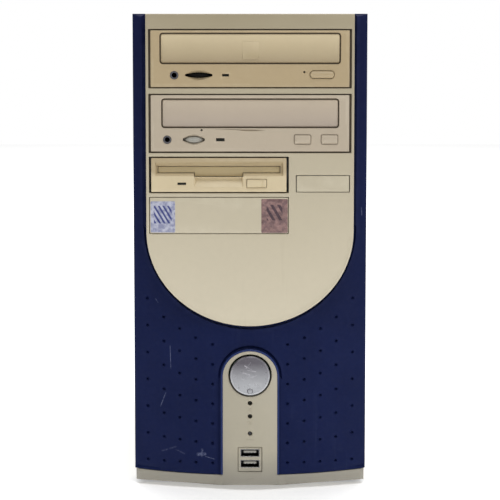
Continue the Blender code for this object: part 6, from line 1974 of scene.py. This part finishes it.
@dataclass
class Insides:
    """The boards, the power supply and the hard drive."""

    zinc: tuple[str, ...] = ("psu_case", "port_shield")
    black: tuple[str, ...] = (
        "psu_fan_frame", "psu_fan_rotor", "cpu_fan_frame", "cpu_fan_rotor", "mains_inlet", "psu_switch",
    )

    def build(self, nodes: dict[str, bpy.types.Object]) -> None:
        """Dresses the nodes of the insides."""
        for name in self.zinc:
            dress_node(nodes, name, ZINC, 0.0002)
        for name in self.black:
            dress_node(nodes, name, BLACK, 0.0002)
        dress_node(nodes, "psu_fan_guard", WIRE)
        dress_node(nodes, "voltage_selector", RED, 0.0002)
        dress_node(nodes, "motherboard", BOARD)
        dress_node(nodes, "memory_module", BOARD)
        dress_node(nodes, "graphics_card", BOARD)
        dress_node(nodes, "rear_ports", GREY, 0.0002)
        dress_node(nodes, "cpu_heatsink", FINS)
        dress_node(nodes, "hard_drive", CAST, 0.0004)
        dress_node(nodes, "drive_ribbon", RIBBON)


# ================================================================ studio
@dataclass
class Studio:
    """The pale floor, the soft lights and the camera."""

    camera_at: tuple[float, float, float] = (0.0, -1.744, 0.360)
    camera_pitch: float = 83.5
    lens: float = 149.3
    room: float = 0.30

    def light(
        self, name: str, at: Sequence[float], towards: Sequence[float], size: float, power: float,
    ) -> None:
        """Adds a soft square light.

        Args:
            name: Its name.
            at: Where it stands.
            towards: The point that it faces.
            size: Length of its side.
            power: Its power in watts.
        """
        data = bpy.data.lights.new(name, "AREA")
        data.size, data.energy = size, power
        lamp = bpy.data.objects.new(name, data)
        lamp.location = at
        lamp.rotation_euler = (Vector(towards) - Vector(at)).to_track_quat("-Z", "Y").to_euler()
        bpy.context.scene.collection.objects.link(lamp)

    def floor(self) -> None:
        """Adds the pale floor."""
        points = np.array([(-4, -4, 0), (4, -4, 0), (4, 4, 0), (-4, 4, 0)], float)
        floor = piece_from("floor", points, [(0, 1, 2, 3)])
        made = bpy.data.materials.new("floor_paper")
        made.use_nodes = True
        shader = made.node_tree.nodes["Principled BSDF"]
        sheet = Sheet(made.node_tree)
        cloud = sheet.mix(sheet.noise(3.0, 2.0), (0.86, 0.86, 0.86, 1.0), (0.90, 0.90, 0.90, 1.0))
        sheet.link(cloud, shader.inputs["Base Color"])
        shader.inputs["Roughness"].default_value = 0.9
        shader.inputs["Specular IOR Level"].default_value = 0.1
        sheet.link(cloud, shader.inputs["Emission Color"])
        shader.inputs["Emission Strength"].default_value = 0.35
        floor.data.materials.append(made)

    def build(self) -> None:
        """Adds everything round the tower."""
        scene = bpy.context.scene
        scene.view_settings.view_transform = "Standard"
        world = bpy.data.worlds.new("pale_room")
        world.use_nodes = True
        sheet = Sheet(world.node_tree)
        seen = sheet.node("ShaderNodeLightPath").outputs["Is Camera Ray"]
        shade = world.node_tree.nodes["Background"]
        shade.inputs["Color"].default_value = (1.0, 1.0, 1.0, 1.0)
        sheet.link(sheet.spread(seen, (0.0, 1.0), (self.room, 1.0)), shade.inputs["Strength"])
        scene.world = world
        self.floor()
        self.light("overhead", (0.25, -1.25, 2.1), (0.0, -0.3, 0.1), 1.4, 24.5)
        self.light("behind", (0.0, 1.6, 2.4), (0.0, 1.6, 0.0), 3.0, 95.0)
        self.light("right_front", (1.1, -1.3, 0.35), (0.0, -0.2, 0.14), 0.6, 1.5)
        data = bpy.data.cameras.new("camera")
        data.lens, data.sensor_width = self.lens, 36.0
        camera = bpy.data.objects.new("camera", data)
        camera.location = self.camera_at
        camera.rotation_euler = (math.radians(self.camera_pitch), 0.0, 0.0)
        scene.collection.objects.link(camera)
        scene.camera = camera


WRITER = WriterDrive(
    name="writer", drop=0.0122, finish=STRAW, door_finish=DOOR_STRAW, door_x=(-0.0663, 0.0666),
    door_drop=0.0027, door_height=0.0214, jack_x=-0.0564, wheel_x=-0.0381, wheel_radius=0.0110,
    wheel_set=0.0100, wheel_thick=0.0032, wheel_finish=MATT_BLACK, recess=(0.0226, 0.0076),
    lamp_x=(-0.0207, -0.0157), lamp_height=0.0019, pin=(0.0404, 0.0309), key_radius=0.0026,
    keys={"writer_eject_button": (0.0447, 0.0626, 0.0300, 0.0355)},
)
READER = OpticalDrive(
    name="reader", drop=0.0602, finish=STONE, door_finish=DOOR_STONE, door_x=(-0.0652, 0.0655),
    door_drop=0.0034, door_height=0.0202, jack_x=-0.0618, wheel_x=-0.0419, wheel_radius=0.0080,
    wheel_set=0.0072, wheel_thick=0.0044, wheel_finish=GREY, recess=(0.0190, 0.0078),
    lamp_x=(-0.0253, -0.0190), lamp_height=0.0024, pin=(-0.0361, 0.0260), key_radius=0.0010,
    keys={
        "reader_play_button": (0.0331, 0.0453, 0.0296, 0.0363),
        "reader_eject_button": (0.0532, 0.0654, 0.0296, 0.0363),
    },
    scoop=(-0.0003, 0.0113, 0.0026),
)


def main() -> None:
    """Builds the tower's looks on its frame."""
    logging.basicConfig(level=logging.INFO, format="%(name)s: %(message)s")
    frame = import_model()
    nodes = frame["nodes"]
    CreamFront().build()
    BlueCover().build()
    ColumnControls().build(nodes)
    WRITER.build(nodes)
    READER.build(nodes)
    FloppyDrive().build(nodes)
    LowerBay().build()
    SteelCase().build(nodes)
    RearSockets().build()
    Insides().build(nodes)
    Studio().build()


if __name__ == "__main__":
    main()
